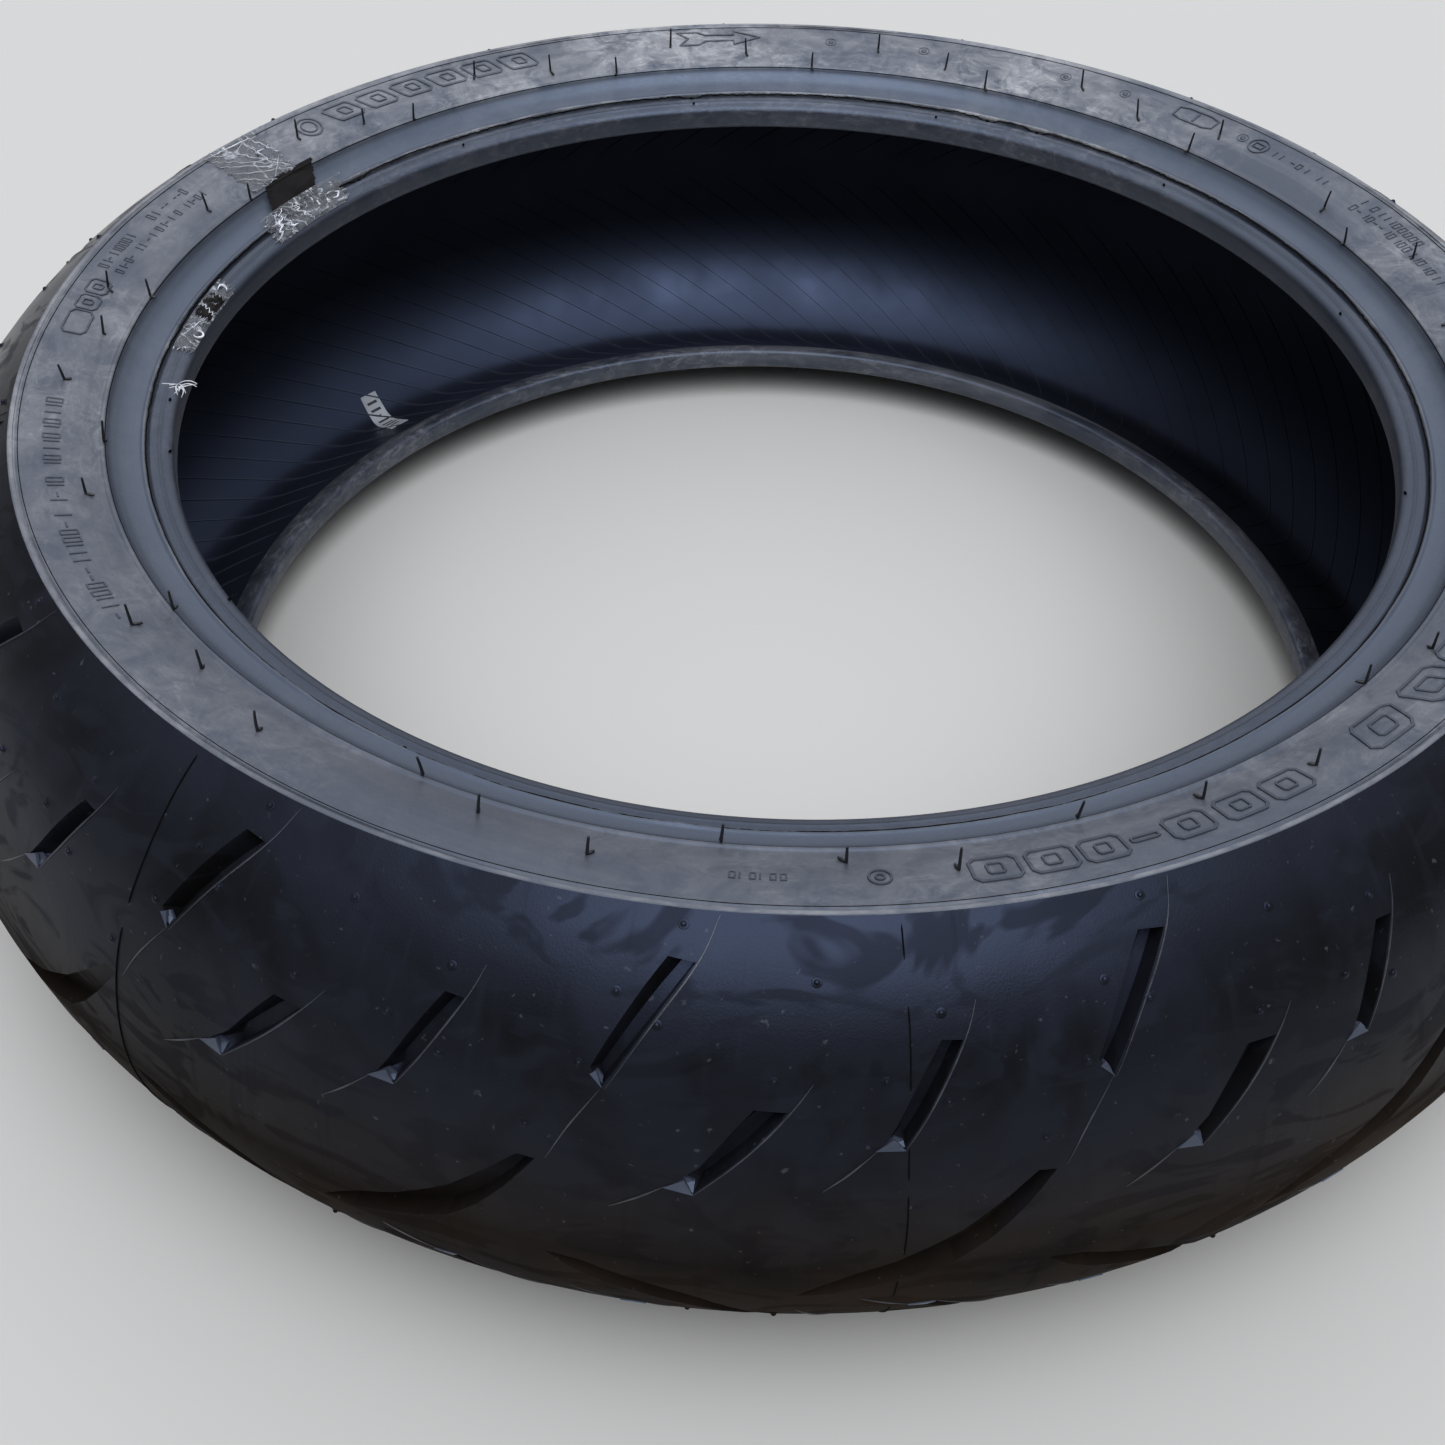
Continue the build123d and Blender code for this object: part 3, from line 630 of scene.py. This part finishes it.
def draw_marks(side, shift):
    """All marks of one sidewall, turned on by shift degrees."""
    marks = Strokes()
    rng = random.Random(5)

    def line(points, width=0.9, height=0.42, closed=True):
        moved = [(a + shift, r) for a, r in points]
        marks.add(arc_path(moved, side, closed), width, height, closed)

    def blocks(edges, r0, r1, slant, width):
        for a0, a1 in edges:
            line(block(a0, a1, r0, r1, slant), width * 1.15)
            inset = (a1 - a0) * 0.33
            rise = (r1 - r0) * 0.28
            line(block(a0 + inset, a1 - inset, r0 + rise, r1 - rise, slant * 0.45, 0.12), width * 0.8)

    def small_rows(a0, a1, r0, r1, cell=0.62, width=0.42):
        """Row of small bars, boxes and dashes where the tire has small print."""
        a = a0
        while a < a1:
            if rng.random() > 0.12:
                kind = rng.random()
                middle, right = (r0 + r1) / 2, a + cell * 0.55
                if kind < 0.45:
                    line([(a, r0), (a, r1)], width, 0.28, False)
                elif kind < 0.8:
                    line([(a, r0), (right, r0), (right, r1), (a, r1)], width, 0.28)
                else:
                    line([(a, middle), (a + cell * 0.6, middle)], width, 0.28, False)
            a += cell

    # Rotation arrow.
    line([(-175.6, 255.2), (-172.9, 259.8), (-172.9, 257.2), (-170.0, 257.2), (-169.2, 259.6),
          (-167.2, 259.6), (-168.2, 255.2), (-167.2, 250.8), (-169.2, 250.8), (-170.0, 253.2),
          (-172.9, 253.2), (-172.9, 250.6)], 0.8)
    # Large slanted blocks.
    blocks([(-152.0 + 3.95 * k, -148.9 + 3.95 * k) for k in range(6)], 249.6, 259.2, 0.7, 0.85)
    line(circle(-126.0, 253.6, 5.4), 0.8)
    line(circle(-126.0, 253.6, 3.3), 0.6)
    # Small rows and the boxed mark on the left.
    small_rows(-110.2, -105.0, 255.6, 259.2)
    small_rows(-102.4, -96.2, 255.6, 259.2)
    small_rows(-111.0, -95.8, 249.8, 252.8)
    blocks([(-94.6, -92.6), (-92.2, -90.2)], 250.4, 257.8, 0.0, 0.6)
    line(block(-89.9, -86.6, 250.0, 258.0, 0.0, 0.5), 0.7)
    small_rows(-77.4, -49.4, 250.2, 255.2, 0.95, 0.6)
    # Near side.
    small_rows(-1.9, 1.5, 250.2, 252.8, 0.6, 0.4)
    line(circle(6.9, 251.6, 3.0), 0.55)
    line(circle(6.9, 251.6, 1.2, 12), 0.5)
    blocks([(12.3, 15.2), (15.8, 18.7), (19.2, 21.9), (24.9, 27.8), (28.7, 31.6), (32.3, 35.4)],
           247.4, 256.8, 0.0, 0.8)
    line(block(22.4, 24.2, 251.2, 253.0, 0.0, 0.2), 0.7)
    for k in range(6):
        a = 41.0 + 5.4 * k
        line(block(a, a + 4.2, 246.2, 257.8, 0.6 if k % 2 else -0.6, 0.5), 0.9, 0.45)
        line(block(a + 1.2, a + 3.0, 249.2, 254.8, 0.3 if k % 2 else -0.3, 0.2), 0.8, 0.4)
    # Right and far side.
    small_rows(103.6, 117.4, 250.6, 253.8, 0.8, 0.5)
    small_rows(109.4, 117.4, 255.8, 259.2, 0.8, 0.5)
    small_rows(121.2, 128.6, 253.4, 256.4, 0.8, 0.45)
    line(circle(130.4, 254.8, 4.3), 0.6)
    line([(129.9, 253.4), (130.9, 253.4), (130.9, 256.2), (129.9, 256.2)], 0.5)
    line(block(135.7, 140.1, 251.2, 259.2, 0.0, 0.9), 0.75)
    line([(137.9, 252.4), (137.9, 258.0)], 0.9, 0.38, False)
    for a, r in ((132.4, 255.2), (145.8, 254.6), (152.3, 254.6), (167.3, 253.6), (177.0, 253.6)):
        p, n = side_point(a + shift, r, side)
        marks.dome(p, n, 1.3, 0.55)
        line(circle(a, r, 2.3, 18), 0.35, 0.2)
    return marks


draw_marks(1, 0.0).make("side_marks_upper", MARK, "side_rubber")
draw_marks(-1, 180.0).make("side_marks_lower", MARK, "side_rubber")

# ---- thin flash and edge lines round the sidewalls ---------------------------------

PROFILE = sorted([p for p in side_outer + band_outer if p[1] > 66.0 and p[0] > 216.6])
PROFILE_R = [p[0] for p in PROFILE]
PROFILE_Z = [p[1] for p in PROFILE]


def skin_point(a, r, side=1, lift=0.0):
    """Point and normal anywhere on the upper face, groove or bead band."""
    z0, z, z1 = (float(np.interp(x, PROFILE_R, PROFILE_Z)) for x in (r - 0.4, r, r + 0.4))
    n = spin(a, -(z1 - z0) / 0.8, side).normalized()
    return spin(a, r, MID + side * z) + n * lift, n


BLOBS = (-167.5, -125.7, -27.3, 152.0, 158.0)      # angles where the flash bulges
PIPS = ((-167.6, 220.5), (-139.2, 220.5), (-73.5, 217.6), (-51.0, 217.6), (105.5, 219.0),
        (135.0, 220.5), (163.8, 220.3), (-81.5, 219.0), (75.5, 217.8))
# Painted shade: the flash ring and the two edge lines are near-black ribbons standing for the shade in
# the gap under the inner lip and along the two steps of the face.
for side, tag in ((1, "upper"), (-1, "lower")):
    lines = Strokes()
    rng = random.Random(8 + side)
    flash = []
    drift = 0.0
    for k in range(1440):
        a = k * 0.25 - 180.0
        drift = 0.9 * drift + rng.uniform(-0.05, 0.05)
        near = min(abs((a - b + 180.0) % 360.0 - 180.0) for b in BLOBS)
        bulge = max(0.0, 1.0 - near / 1.3)
        r = 225.15 + 0.7 * drift + rng.uniform(-0.04, 0.04) - 0.7 * bulge
        flash.append(skin_point(a, r, side, 0.18 + 0.2 * bulge))
    lines.add(flash, 0.30, 0.26, closed=True)
    for r, width, wave in ((236.75, 0.30, 0.0), (262.9, 0.26, 0.35)):
        edge = []
        for k in range(1080):
            a = k / 3.0 - 180.0
            sag = wave * (math.sin(math.radians(5 * a)) + 0.6 * math.sin(math.radians(13 * a + 40.0)))
            edge.append(skin_point(a, r - 0.5 * abs(sag), side, 0.03))
        lines.add(edge, width, 0.07, closed=True)
    for a in BLOBS:
        p, n = skin_point(a, 224.3, side)
        lines.dome(p, n, 0.9, 0.8)
    for a, r in PIPS:
        p, n = skin_point(a, r, side)
        lines.dome(p, n, 0.55, 1.1, 8)
    lines.make("flash_lines_" + tag, GAP, "side_rubber")

# ---- moulding hairs ----------------------------------------------------------------

# Angles of the hairs on each of their three circles.
HAIRS = {
    236.9: (-181.2, -159.6, -135.8, -113.5, -94.6, -72.2, -49.2, -23.2,
            -2.7, 20.7, 46.7, 70.0, 92.0, 113.6, 135.5, 159.6),
    244.4: (-174.1, -152.8, -131.0, -109.3, -87.5, -65.0, -41.9, -18.1,
            5.1, 28.8, 52.7, 75.5, 98.0, 119.2, 143.0, 164.5),
    251.0: (-166.2, -145.0, -124.0, -93.9, -80.1, -48.3, -34.0, -10.4,
            11.6, 36.7, 60.0, 84.0, 108.0, 134.4, 150.2, 172.0)}


def hair_mesh(name, side, low, high, foot_low, foot_high, node):
    """Moulding hairs: each lies on the rubber for a short way, then turns up and stands."""
    points, faces = [], []
    rng = random.Random(21)
    sides = 8
    for radius, places in HAIRS.items():
        top = 79.0 if radius < 238.0 else face_height(radius)
        for a in places:
            base = spin(a, radius, MID + side * (top + 0.15))
            length = rng.uniform(low, high)
            lie = rng.uniform(foot_low, foot_high)
            swing = math.radians(a - 90.0) + math.pi + rng.uniform(-0.8, 0.8)
            inward = Vector((math.cos(swing), math.sin(swing), -0.10 * side))
            lean = Vector((rng.uniform(-0.12, 0.12), rng.uniform(-0.12, 0.12), 0.0))
            hook = Vector((rng.uniform(-1, 1), rng.uniform(-1, 1), 0.0))
            hook = hook * rng.uniform(0.0, 0.10) * length
            upward = Vector((0, 0, side)) + lean
            path = [base + inward * lie * f for f in (1.0, 0.6, 0.25)]
            path += [base + upward * length * f + hook * f * f
                     for f in (0.04, 0.2, 0.4, 0.6, 0.8, 0.93, 1.0)]
            first = len(points)
            for j, centre in enumerate(path):
                ahead = (path[min(j + 1, len(path) - 1)] - path[max(j - 1, 0)]).normalized()
                beside = Vector((math.cos(swing + 1.57), math.sin(swing + 1.57), 0.0))
                across = ahead.cross(beside).normalized()
                other = ahead.cross(across)
                width = 0.34 if j == 0 else 0.58 * (1.0 - 0.045 * j)
                for k in range(sides):
                    t = 2 * math.pi * k / sides
                    points.append(centre + (across * math.cos(t) + other * math.sin(t)) * width)
            for j in range(len(path) - 1):
                for k in range(sides):
                    a0 = first + j * sides + k
                    b0 = first + j * sides + (k + 1) % sides
                    faces.append((a0, b0, b0 + sides, a0 + sides))
            faces.append(tuple(first + (len(path) - 1) * sides + k for k in range(sides)))
            faces.append(tuple(first + k for k in reversed(range(sides))))
    obj = build(name, points, faces, HAIR, 60.0)
    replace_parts(obj, node)


hair_mesh("moulding_hairs_upper", 1, 6.4, 8.4, 0.8, 3.4, "vent_hairs_upper")
hair_mesh("moulding_hairs_lower", -1, 0.7, 1.1, 3.0, 6.0, "vent_hairs_lower")

# ---- wrapping film, label, fibre tuft -------------------------------------------------


def sheet_faces(rows, cols):
    """Faces of a thin closed sheet: rows x cols points on top, the same number below."""
    under = rows * cols
    faces = []
    for i in range(rows - 1):
        for j in range(cols - 1):
            a = i * cols + j
            b, c, d = a + 1, a + cols + 1, a + cols
            faces.append((a, b, c, d))
            faces.append((under + d, under + c, under + b, under + a))
    rim = (list(range(cols)) + [i * cols + cols - 1 for i in range(1, rows)]
           + [(rows - 1) * cols + j for j in range(cols - 2, -1, -1)]
           + [i * cols for i in range(rows - 2, 0, -1)])
    for a, b in zip(rim, rim[1:] + rim[:1]):
        faces.append((b, a, under + a, under + b))
    return faces


# Taut line that the film follows over the face, the groove and the bead.
HULL_R = [216.6, 218.5, 222.5, 226.0, 231.0, 238.4, 263.0, 264.6, 266.5]
HULL_Z = [67.6, 69.0, 70.3, 72.4, 75.4, 79.3, 85.7, 86.1, 86.1]
FILM_T = 0.12
creases = Strokes()


def film_patch(name, a0, a1, r0, r1, seed, material, lift, crumple, ragged, skew=0.0,
               cells=(130, 72), fold_count=18):
    """Thin crumpled sheet laid over the skin from a0 to a1 and r0 to r1, bridging the groove.

    Clear film also gets a white crease ribbon, a painted highlight, along each of its higher folds.
    """
    rng = random.Random(seed)
    wide, tall = (a1 - a0) * 4.3, r1 - r0
    folds = []
    for _ in range(fold_count):
        turn = rng.uniform(0, math.pi)
        offset, width = rng.uniform(-0.5, 0.5) * max(wide, tall), rng.uniform(0.9, 2.8)
        rise = rng.uniform(0.25, 1.0) * (1 if rng.random() > 0.25 else -0.6)
        folds.append((math.cos(turn), math.sin(turn), offset, width, rise))

    def surface(u, v, drop=0.0):
        """u runs inward from the outer edge, v across, both 0 to 1."""
        r = r1 - tall * u
        edge0 = ragged * (math.sin(23 * u + seed) + 0.6 * math.sin(57 * u + 2 * seed))
        edge1 = ragged * (math.sin(31 * u + 3 * seed) + 0.6 * math.sin(71 * u + seed))
        a = a0 + edge0 + (a1 + edge1 - a0 - edge0) * v + skew * u
        x, y = (v - 0.5) * wide, (u - 0.5) * tall
        height = 0.0
        for cx, sy, off, width, rise in folds:
            d = abs(cx * x + sy * y - off)
            if d < width:
                height += rise * (0.5 + 0.5 * math.cos(math.pi * d / width))
        z = max(float(np.interp(r, HULL_R, HULL_Z)), float(np.interp(r, PROFILE_R, PROFILE_Z)))
        return spin(a, r, MID + z + lift + crumple * height - drop)

    rows, cols = cells
    points = [surface(i / (rows - 1), j / (cols - 1), drop)
              for drop in (0.0, FILM_T) for i in range(rows) for j in range(cols)]
    faces = sheet_faces(rows, cols)
    if material is FILM:
        for cx, sy, off, width, rise in folds:
            if rise < 0.35:
                continue
            path = []
            for k in range(-60, 61):
                t = k * max(wide, tall) / 100.0
                u, v = (sy * off + cx * t) / tall + 0.5, (cx * off - sy * t) / wide + 0.5
                if 0.01 < u < 0.99 and 0.01 < v < 0.99:
                    path.append((surface(u, v) + Vector((0, 0, 0.04)), Vector((0, 0, 1))))
            if len(path) > 6:
                thick = rng.uniform(0.10, 0.22) + 0.34 * rng.random() ** 3
                creases.add(path, thick, 0.10, taper=0.4)
    return build(name, points, faces, material, 22.0)


long_sheet = film_patch("film_long_sheet", -121.3, -115.2, 238.0, 264.8, 4, FILM, 0.25, 0.45, 0.12,
                        0.6)
# Near-black sheets across the groove, beside the clear film.
film_patch("film_long_strip", -123.0, -116.4, 227.0, 239.4, 9, NEAR_BLACK_SHEET, 0.35, 0.16, 0.10, 2.6,
           (60, 44))
film_patch("film_long_tail", -123.8, -112.4, 217.4, 228.8, 17, FILM, 0.55, 0.22, 0.32, 1.4,
           fold_count=9)
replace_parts(long_sheet, "wrap_film_long")
short_sheet = film_patch("film_short_sheet", -101.6, -89.6, 216.7, 223.6, 23, FILM, 0.40, 0.28, 0.30,
                         fold_count=10)
film_patch("film_short_patch", -99.6, -95.6, 217.2, 222.9, 31, NEAR_BLACK_SHEET, 0.46, 0.25, 0.15, 0.4,
           (40, 30))
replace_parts(short_sheet, "wrap_film_short")

# Curled-up edges of the film, white as painted highlights: angle, radius, size and where the curl
# starts.
CURLS = ((-118.4, 226.2, 2.7, 0.4), (-121.6, 222.4, 2.2, 2.3), (-114.8, 220.9, 1.8, 4.1),
         (-116.9, 230.4, 2.4, 1.2), (-100.6, 220.4, 2.1, 1.0), (-92.6, 218.6, 1.9, 3.3),
         (-119.6, 252.0, 2.2, 5.2))
for a, r, size, start in CURLS:
    path = []
    for k in range(15):
        t = start + 3.6 * k / 14.0
        path.append(skin_point(a + size * math.cos(t) / 4.0, r + 0.7 * size * math.sin(t), 1,
                               1.1 + 0.5 * math.sin(0.45 * k)))
    creases.add(path, 0.55, 0.35, taper=0.4)
creases.make("film_creases", CREASE_HIGHLIGHT, "clear_film")

LABEL_START, LABEL_END = 76.2, 109.6      # along the liner from the crown line, lower half


def label_place(u, v, lift):
    """u runs along the label from the crown side to the bead side, v across it."""
    left = -131.5 + 0.7 * u
    right_edge = -129.6 + 1.3 * u
    q = LABEL_START + (LABEL_END - LABEL_START) * u
    return liner_point(left + (right_edge - left) * v, -q, lift)


rows, cols = 48, 20
points = [label_place(i / (rows - 1), j / (cols - 1), lift)[0]
          for lift in (0.22, 0.02) for i in range(rows) for j in range(cols)]
faces = sheet_faces(rows, cols)
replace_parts(build("label_sheet", points, faces, SHADED_LABEL), "inspection_label")
print_marks = Strokes()
for u0, tall in ((0.14, 0.3), (0.26, 0.3), (0.36, 0.12), (0.48, 0.3), (0.60, 0.3), (0.72, 0.3),
                 (0.84, 0.22)):
    bar = [label_place(u0, 0.5 + tall * (t / 4 - 1), 0.27) for t in range(9)]
    print_marks.add(bar, 1.3 if tall > 0.2 else 0.6, 0.05)
print_marks.make("label_print", INK, "label_paper")

tuft = Strokes()
rng = random.Random(14)
for k in range(16):
    base, n = skin_point(-84.0 + rng.uniform(-0.5, 0.5), 217.6 + rng.uniform(-0.6, 0.6), 1, 0.1)
    reach = rng.uniform(3.0, 9.0)
    head = rng.uniform(-2.6, 0.6)
    bend = rng.uniform(-0.9, 0.9)
    path = []
    for t in range(10):
        f = t / 9.0
        swing = head + bend * f
        offset = Vector((math.cos(swing), math.sin(swing), 0.55 - 0.5 * f)) * reach * f
        path.append((base + offset, n))
    tuft.add(path, 0.16, 0.10, taper=0.3)
tuft.make("fibre_tuft", FIBRE, "clear_film")

# ---- tread details -----------------------------------------------------------------

# The pattern repeats in pitches round the tire; the four facing the camera are the widest. The outlines
# are (angle, s) corners within one pitch, the same as the grooves cut in the tread.
PITCHES = 15
NEAR_PITCH = 24.85
NEAR_COUNT = 4
FIRST_PITCH = -64.7
CURVE_SHIFT = 22.0              # how far the lower half's curved grooves sit from the crown line
FAR_PITCH = (360.0 - NEAR_COUNT * NEAR_PITCH) / (PITCHES - NEAR_COUNT)
LONG_TOP = [(7.1, 61.0), (10.2, 91.5), (11.9, 90.5), (9.6, 72.0), (7.9, 56.0)]
WIDE_TOP = [(-13.6, 30.0), (-12.1, 37.0), (-9.8, 54.5), (-8.0, 54.0), (-9.9, 42.0),
            (-12.4, 28.0)]
SLIM_TOP = [(-3.7, 43.5), (-2.9, 50.0), (-0.75, 72.0), (0.45, 71.5), (-1.3, 54.0),
            (-2.5, 43.3)]
CURVE = [(-7.2, -16.8), (-6.0, -9.5), (-4.5, -3.0), (-2.5, 3.0), (0.5, 14.5), (4.0, 32.5),
         (4.9, 32.0), (3.4, 20.0), (2.0, 10.0), (0.3, 0.5), (-1.5, -5.0), (-5.4, -15.5)]
NUBS = [(11.0, 99.5), (8.0, 81.0), (10.2, 74.0), (6.6, 61.5), (-6.8, 87.0), (-8.8, 62.0),
        (-0.6, 78.5), (-3.4, 62.0), (-0.4, 55.5), (4.3, 42.0)]
# Thin lips that run past both ends of the straight grooves and along their edge, painted lighter than
# the tread as highlights.
TAILS = [[(5.4, 33.0), (6.4, 44.0), (7.75, 55.5)],
         [(8.0, 55.8), (9.75, 72.0), (12.0, 90.6), (12.9, 102.6)],
         [(-16.3, 20.5), (-15.0, 25.0), (-13.65, 30.0)],
         [(-12.3, 28.0), (-9.8, 42.0), (-7.9, 54.2), (-6.9, 61.5)],
         [(-6.3, 31.0), (-5.1, 36.5), (-3.75, 43.4)],
         [(-2.4, 43.3), (-1.2, 54.0), (0.55, 71.8), (1.2, 81.0)]]

half_pitches = []
centre = FIRST_PITCH
for number in range(PITCHES):
    pitch = NEAR_PITCH if number < NEAR_COUNT else FAR_PITCH
    half_pitches.append((1, centre, 0.0))
    half_pitches.append((-1, centre + pitch / 2, CURVE_SHIFT))
    centre += pitch

lips = Strokes()
nubs = Strokes()
mouths = []
for side, middle, shift in half_pitches:
    for tail in TAILS:
        run = smooth_run([(middle + a, side * s) for a, s in tail], 6)
        lips.add([tread_point(a, s) for a, s in run], 0.42, 0.28, taper=0.45)
    for a, s in NUBS:
        p, n = tread_point(middle + a, side * s)
        nubs.dome(p, n, 0.85, 0.85)
        nubs.dome(p, n, 1.5, 0.22)
    for shape, extra in ((LONG_TOP, 0.0), (WIDE_TOP, 0.0), (SLIM_TOP, 0.0), (CURVE, shift)):
        mouths.append([(middle + a, side * (s + extra)) for a, s in shape])
lips.make("groove_lips", LIP_HIGHLIGHT, "tread_rubber")
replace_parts(nubs.make("tread_nubs", TREAD, "tread_rubber"), "tread_vent_nubs")


def in_mouth(a, s):
    """Whether a place on the tread lies over a groove."""
    for shape in mouths:
        if not (min(p[1] for p in shape) - 1 < s < max(p[1] for p in shape) + 1):
            continue
        inside = False
        for (a0, s0), (a1, s1) in zip(shape, shape[1:] + shape[:1]):
            d0 = (a0 - a + 180.0) % 360.0 - 180.0
            d1 = (a1 - a + 180.0) % 360.0 - 180.0
            if (s0 > s) != (s1 > s) and 0 < d0 + (s - s0) / (s1 - s0) * (d1 - d0):
                inside = not inside
        if inside:
            return True
    return False


# Smooth run-out ramps at the crown end of the straight grooves: tip, heel, low and high corner. Each
# ramp is a wedge that sinks into the groove and a small flat triangle on top of its tip.
# The ramps' lighter bluish colour is painted sheen.
ramp_points, ramp_faces = [], []
RAMP_ENDS = [((-13.75, 29.6), (-12.35, 28.0), (-12.3, 31.0), (-12.8, 32.4)),
             ((-3.88, 43.2), (-2.46, 43.0), (-2.54, 44.8), (-3.0, 46.2)),
             ((7.2, 59.3), (7.85, 56.1), (7.8, 58.3), (7.5, 60.3))]
for side, middle, shift in half_pitches:
    for corners in RAMP_ENDS:
        for picks, lifts in (((0, 1, 2, 3), (0.22, 0.22, -1.9, -1.5)),
                             ((0, 1, 3), (0.40, 0.34, 0.05))):
            first, count = len(ramp_points), len(picks)
            for under in (0.0, 0.9):
                for pick, lift in zip(picks, lifts):
                    a, t = corners[pick]
                    ramp_points.append(tread_point(middle + a, side * t, lift - under)[0])
            shell = [tuple(first + k for k in range(count)),
                     tuple(first + count + k for k in reversed(range(count)))]
            for k in range(count):
                j = (k + 1) % count
                shell.append((first + j, first + k, first + count + k, first + count + j))
            ramp_faces += shell if side > 0 else [face[::-1] for face in shell]
build("groove_ramps", ramp_points, ramp_faces, RAMP_SHEEN, 10.0)

# Parting lines of the mould segments across the tread.
seams = Strokes()
SEAM, SEAM_GAP = 7.6, 42.5      # the two seams seen in front, and the rest spread evenly
SEAMS = [SEAM, SEAM - SEAM_GAP] + [SEAM + (360.0 - SEAM_GAP) / 8 * k for k in range(1, 8)]
for a in SEAMS:
    run = []
    for s in [*np.linspace(-101.0, 101.0, 160), None]:
        if s is not None and not any(in_mouth(a + d, s) for d in (0.0, 0.15, -0.15)):
            run.append(tread_point(a + 0.05 * math.sin(s * 0.11), s))
            continue
        if len(run) > 3:
            seams.add(run, 0.30, 0.30, taper=0.02)
        run = []
seams.make("mould_seams", GAP, "tread_rubber")

# ---- carried-over nodes ------------------------------------------------------------

KEPT = {"tread_cap": TREAD, "tread_base": INNER_DARK, "jointless_belt": CORDS_ROUND,
        "carcass_ply_outer": CORDS_ACROSS, "carcass_ply_inner": CORDS_ACROSS}
for kind, material in (("belt_edge_strip", INNER_DARK), ("bead_core", WIRE),
                       ("bead_wrap", CORDS_ACROSS), ("bead_filler", INNER_DARK)):
    KEPT[kind + "_upper"] = KEPT[kind + "_lower"] = material
for node, material in KEPT.items():
    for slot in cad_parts[node].material_slots:
        slot.material = material

# ---- floor, light, camera (in metres) -------------------------------------------------

FLOOR = 60.0                    # half the width of the floor
scene = bpy.context.scene
floor_mesh = bpy.data.meshes.new("floor")
corners = [(x * FLOOR, y * FLOOR, 0) for x, y in ((-1, -1), (1, -1), (1, 1), (-1, 1))]
floor_mesh.from_pydata(corners, [], [(0, 1, 2, 3)])
floor = bpy.data.objects.new("floor", floor_mesh)
scene.collection.objects.link(floor)
floor_mesh.materials.append(Surface("floor_pale").done((0.519, 0.498, 0.457), 0.9))

scene.view_settings.view_transform = "Standard"
world = bpy.data.worlds.new("studio")
scene.world = world
world.use_nodes = True
world.cycles.sampling_method = "MANUAL"
world.cycles.sample_map_resolution = 256
HORIZON = 0.05                  # light from low all round
ZENITH = 1.25                   # broad light from above
SOFTBOX, SOFTBOX_AIM = 3.5, Vector((0.08, -0.38, 0.925)).normalized()
BACK, BACK_AIM = 0.70, Vector((0.0, 0.92, 0.38)).normalized()
BACKDROP = (0.67, 0.685, 0.69, 1.0)
sky = Nodes(world.node_tree)
direction = sky.add("TexCoord", {}, "Generated")


def toward(aim, low, high, top):
    """Soft patch of light: 0 where the dot product with aim is under low, top where it is over high."""
    dot = sky.add("VectorMath", {0: direction, 1: aim}, "Value", operation="DOT_PRODUCT")
    return sky.ramp(dot, low, high, 0.0, top, "SMOOTHSTEP")


softbox = toward(SOFTBOX_AIM, 0.82, 0.96, SOFTBOX)
zenith = toward(Vector((0.0, 0.0, 1.0)), 0.30, 1.0, ZENITH)
back = toward(BACK_AIM, 0.70, 0.97, BACK)
strength = sky.plus(sky.plus(softbox, zenith), sky.plus(back, HORIZON))
light = sky.add("Background", {"Color": (0.87, 0.91, 1.0, 1.0), "Strength": strength})
# Past the far edge of the floor the eye sees the same pale grey, and the light stays as it is.
backdrop = sky.add("Background", {"Color": BACKDROP})
seen = sky.add("LightPath", {}, "Is Camera Ray")
either = sky.add("MixShader", {0: seen, 1: light, 2: backdrop})
sky.tree.links.new(either, sky.tree.nodes["World Output"].inputs["Surface"])

camera_data = bpy.data.cameras.new("camera")
camera_data.sensor_width = 36.0
camera_data.lens = 44.0
camera = bpy.data.objects.new("camera", camera_data)
scene.collection.objects.link(camera)
# The photo's viewpoint: place, and pitch below level, yaw and roll in radians.
EYE = Vector((0.0, -0.5469, 0.5123))
pitch, yaw, roll = 0.7738, -0.0369, 0.0224
ahead = Vector((math.sin(yaw) * math.cos(pitch), math.cos(yaw) * math.cos(pitch), -math.sin(pitch)))
level = Vector((math.cos(yaw), -math.sin(yaw), 0.0))
rise = level.cross(ahead)
right = level * math.cos(roll) + rise * math.sin(roll)
up = rise * math.cos(roll) - level * math.sin(roll)
camera.matrix_world = Matrix.Translation(EYE) @ Matrix((right, up, -ahead)).transposed().to_4x4()
scene.camera = camera
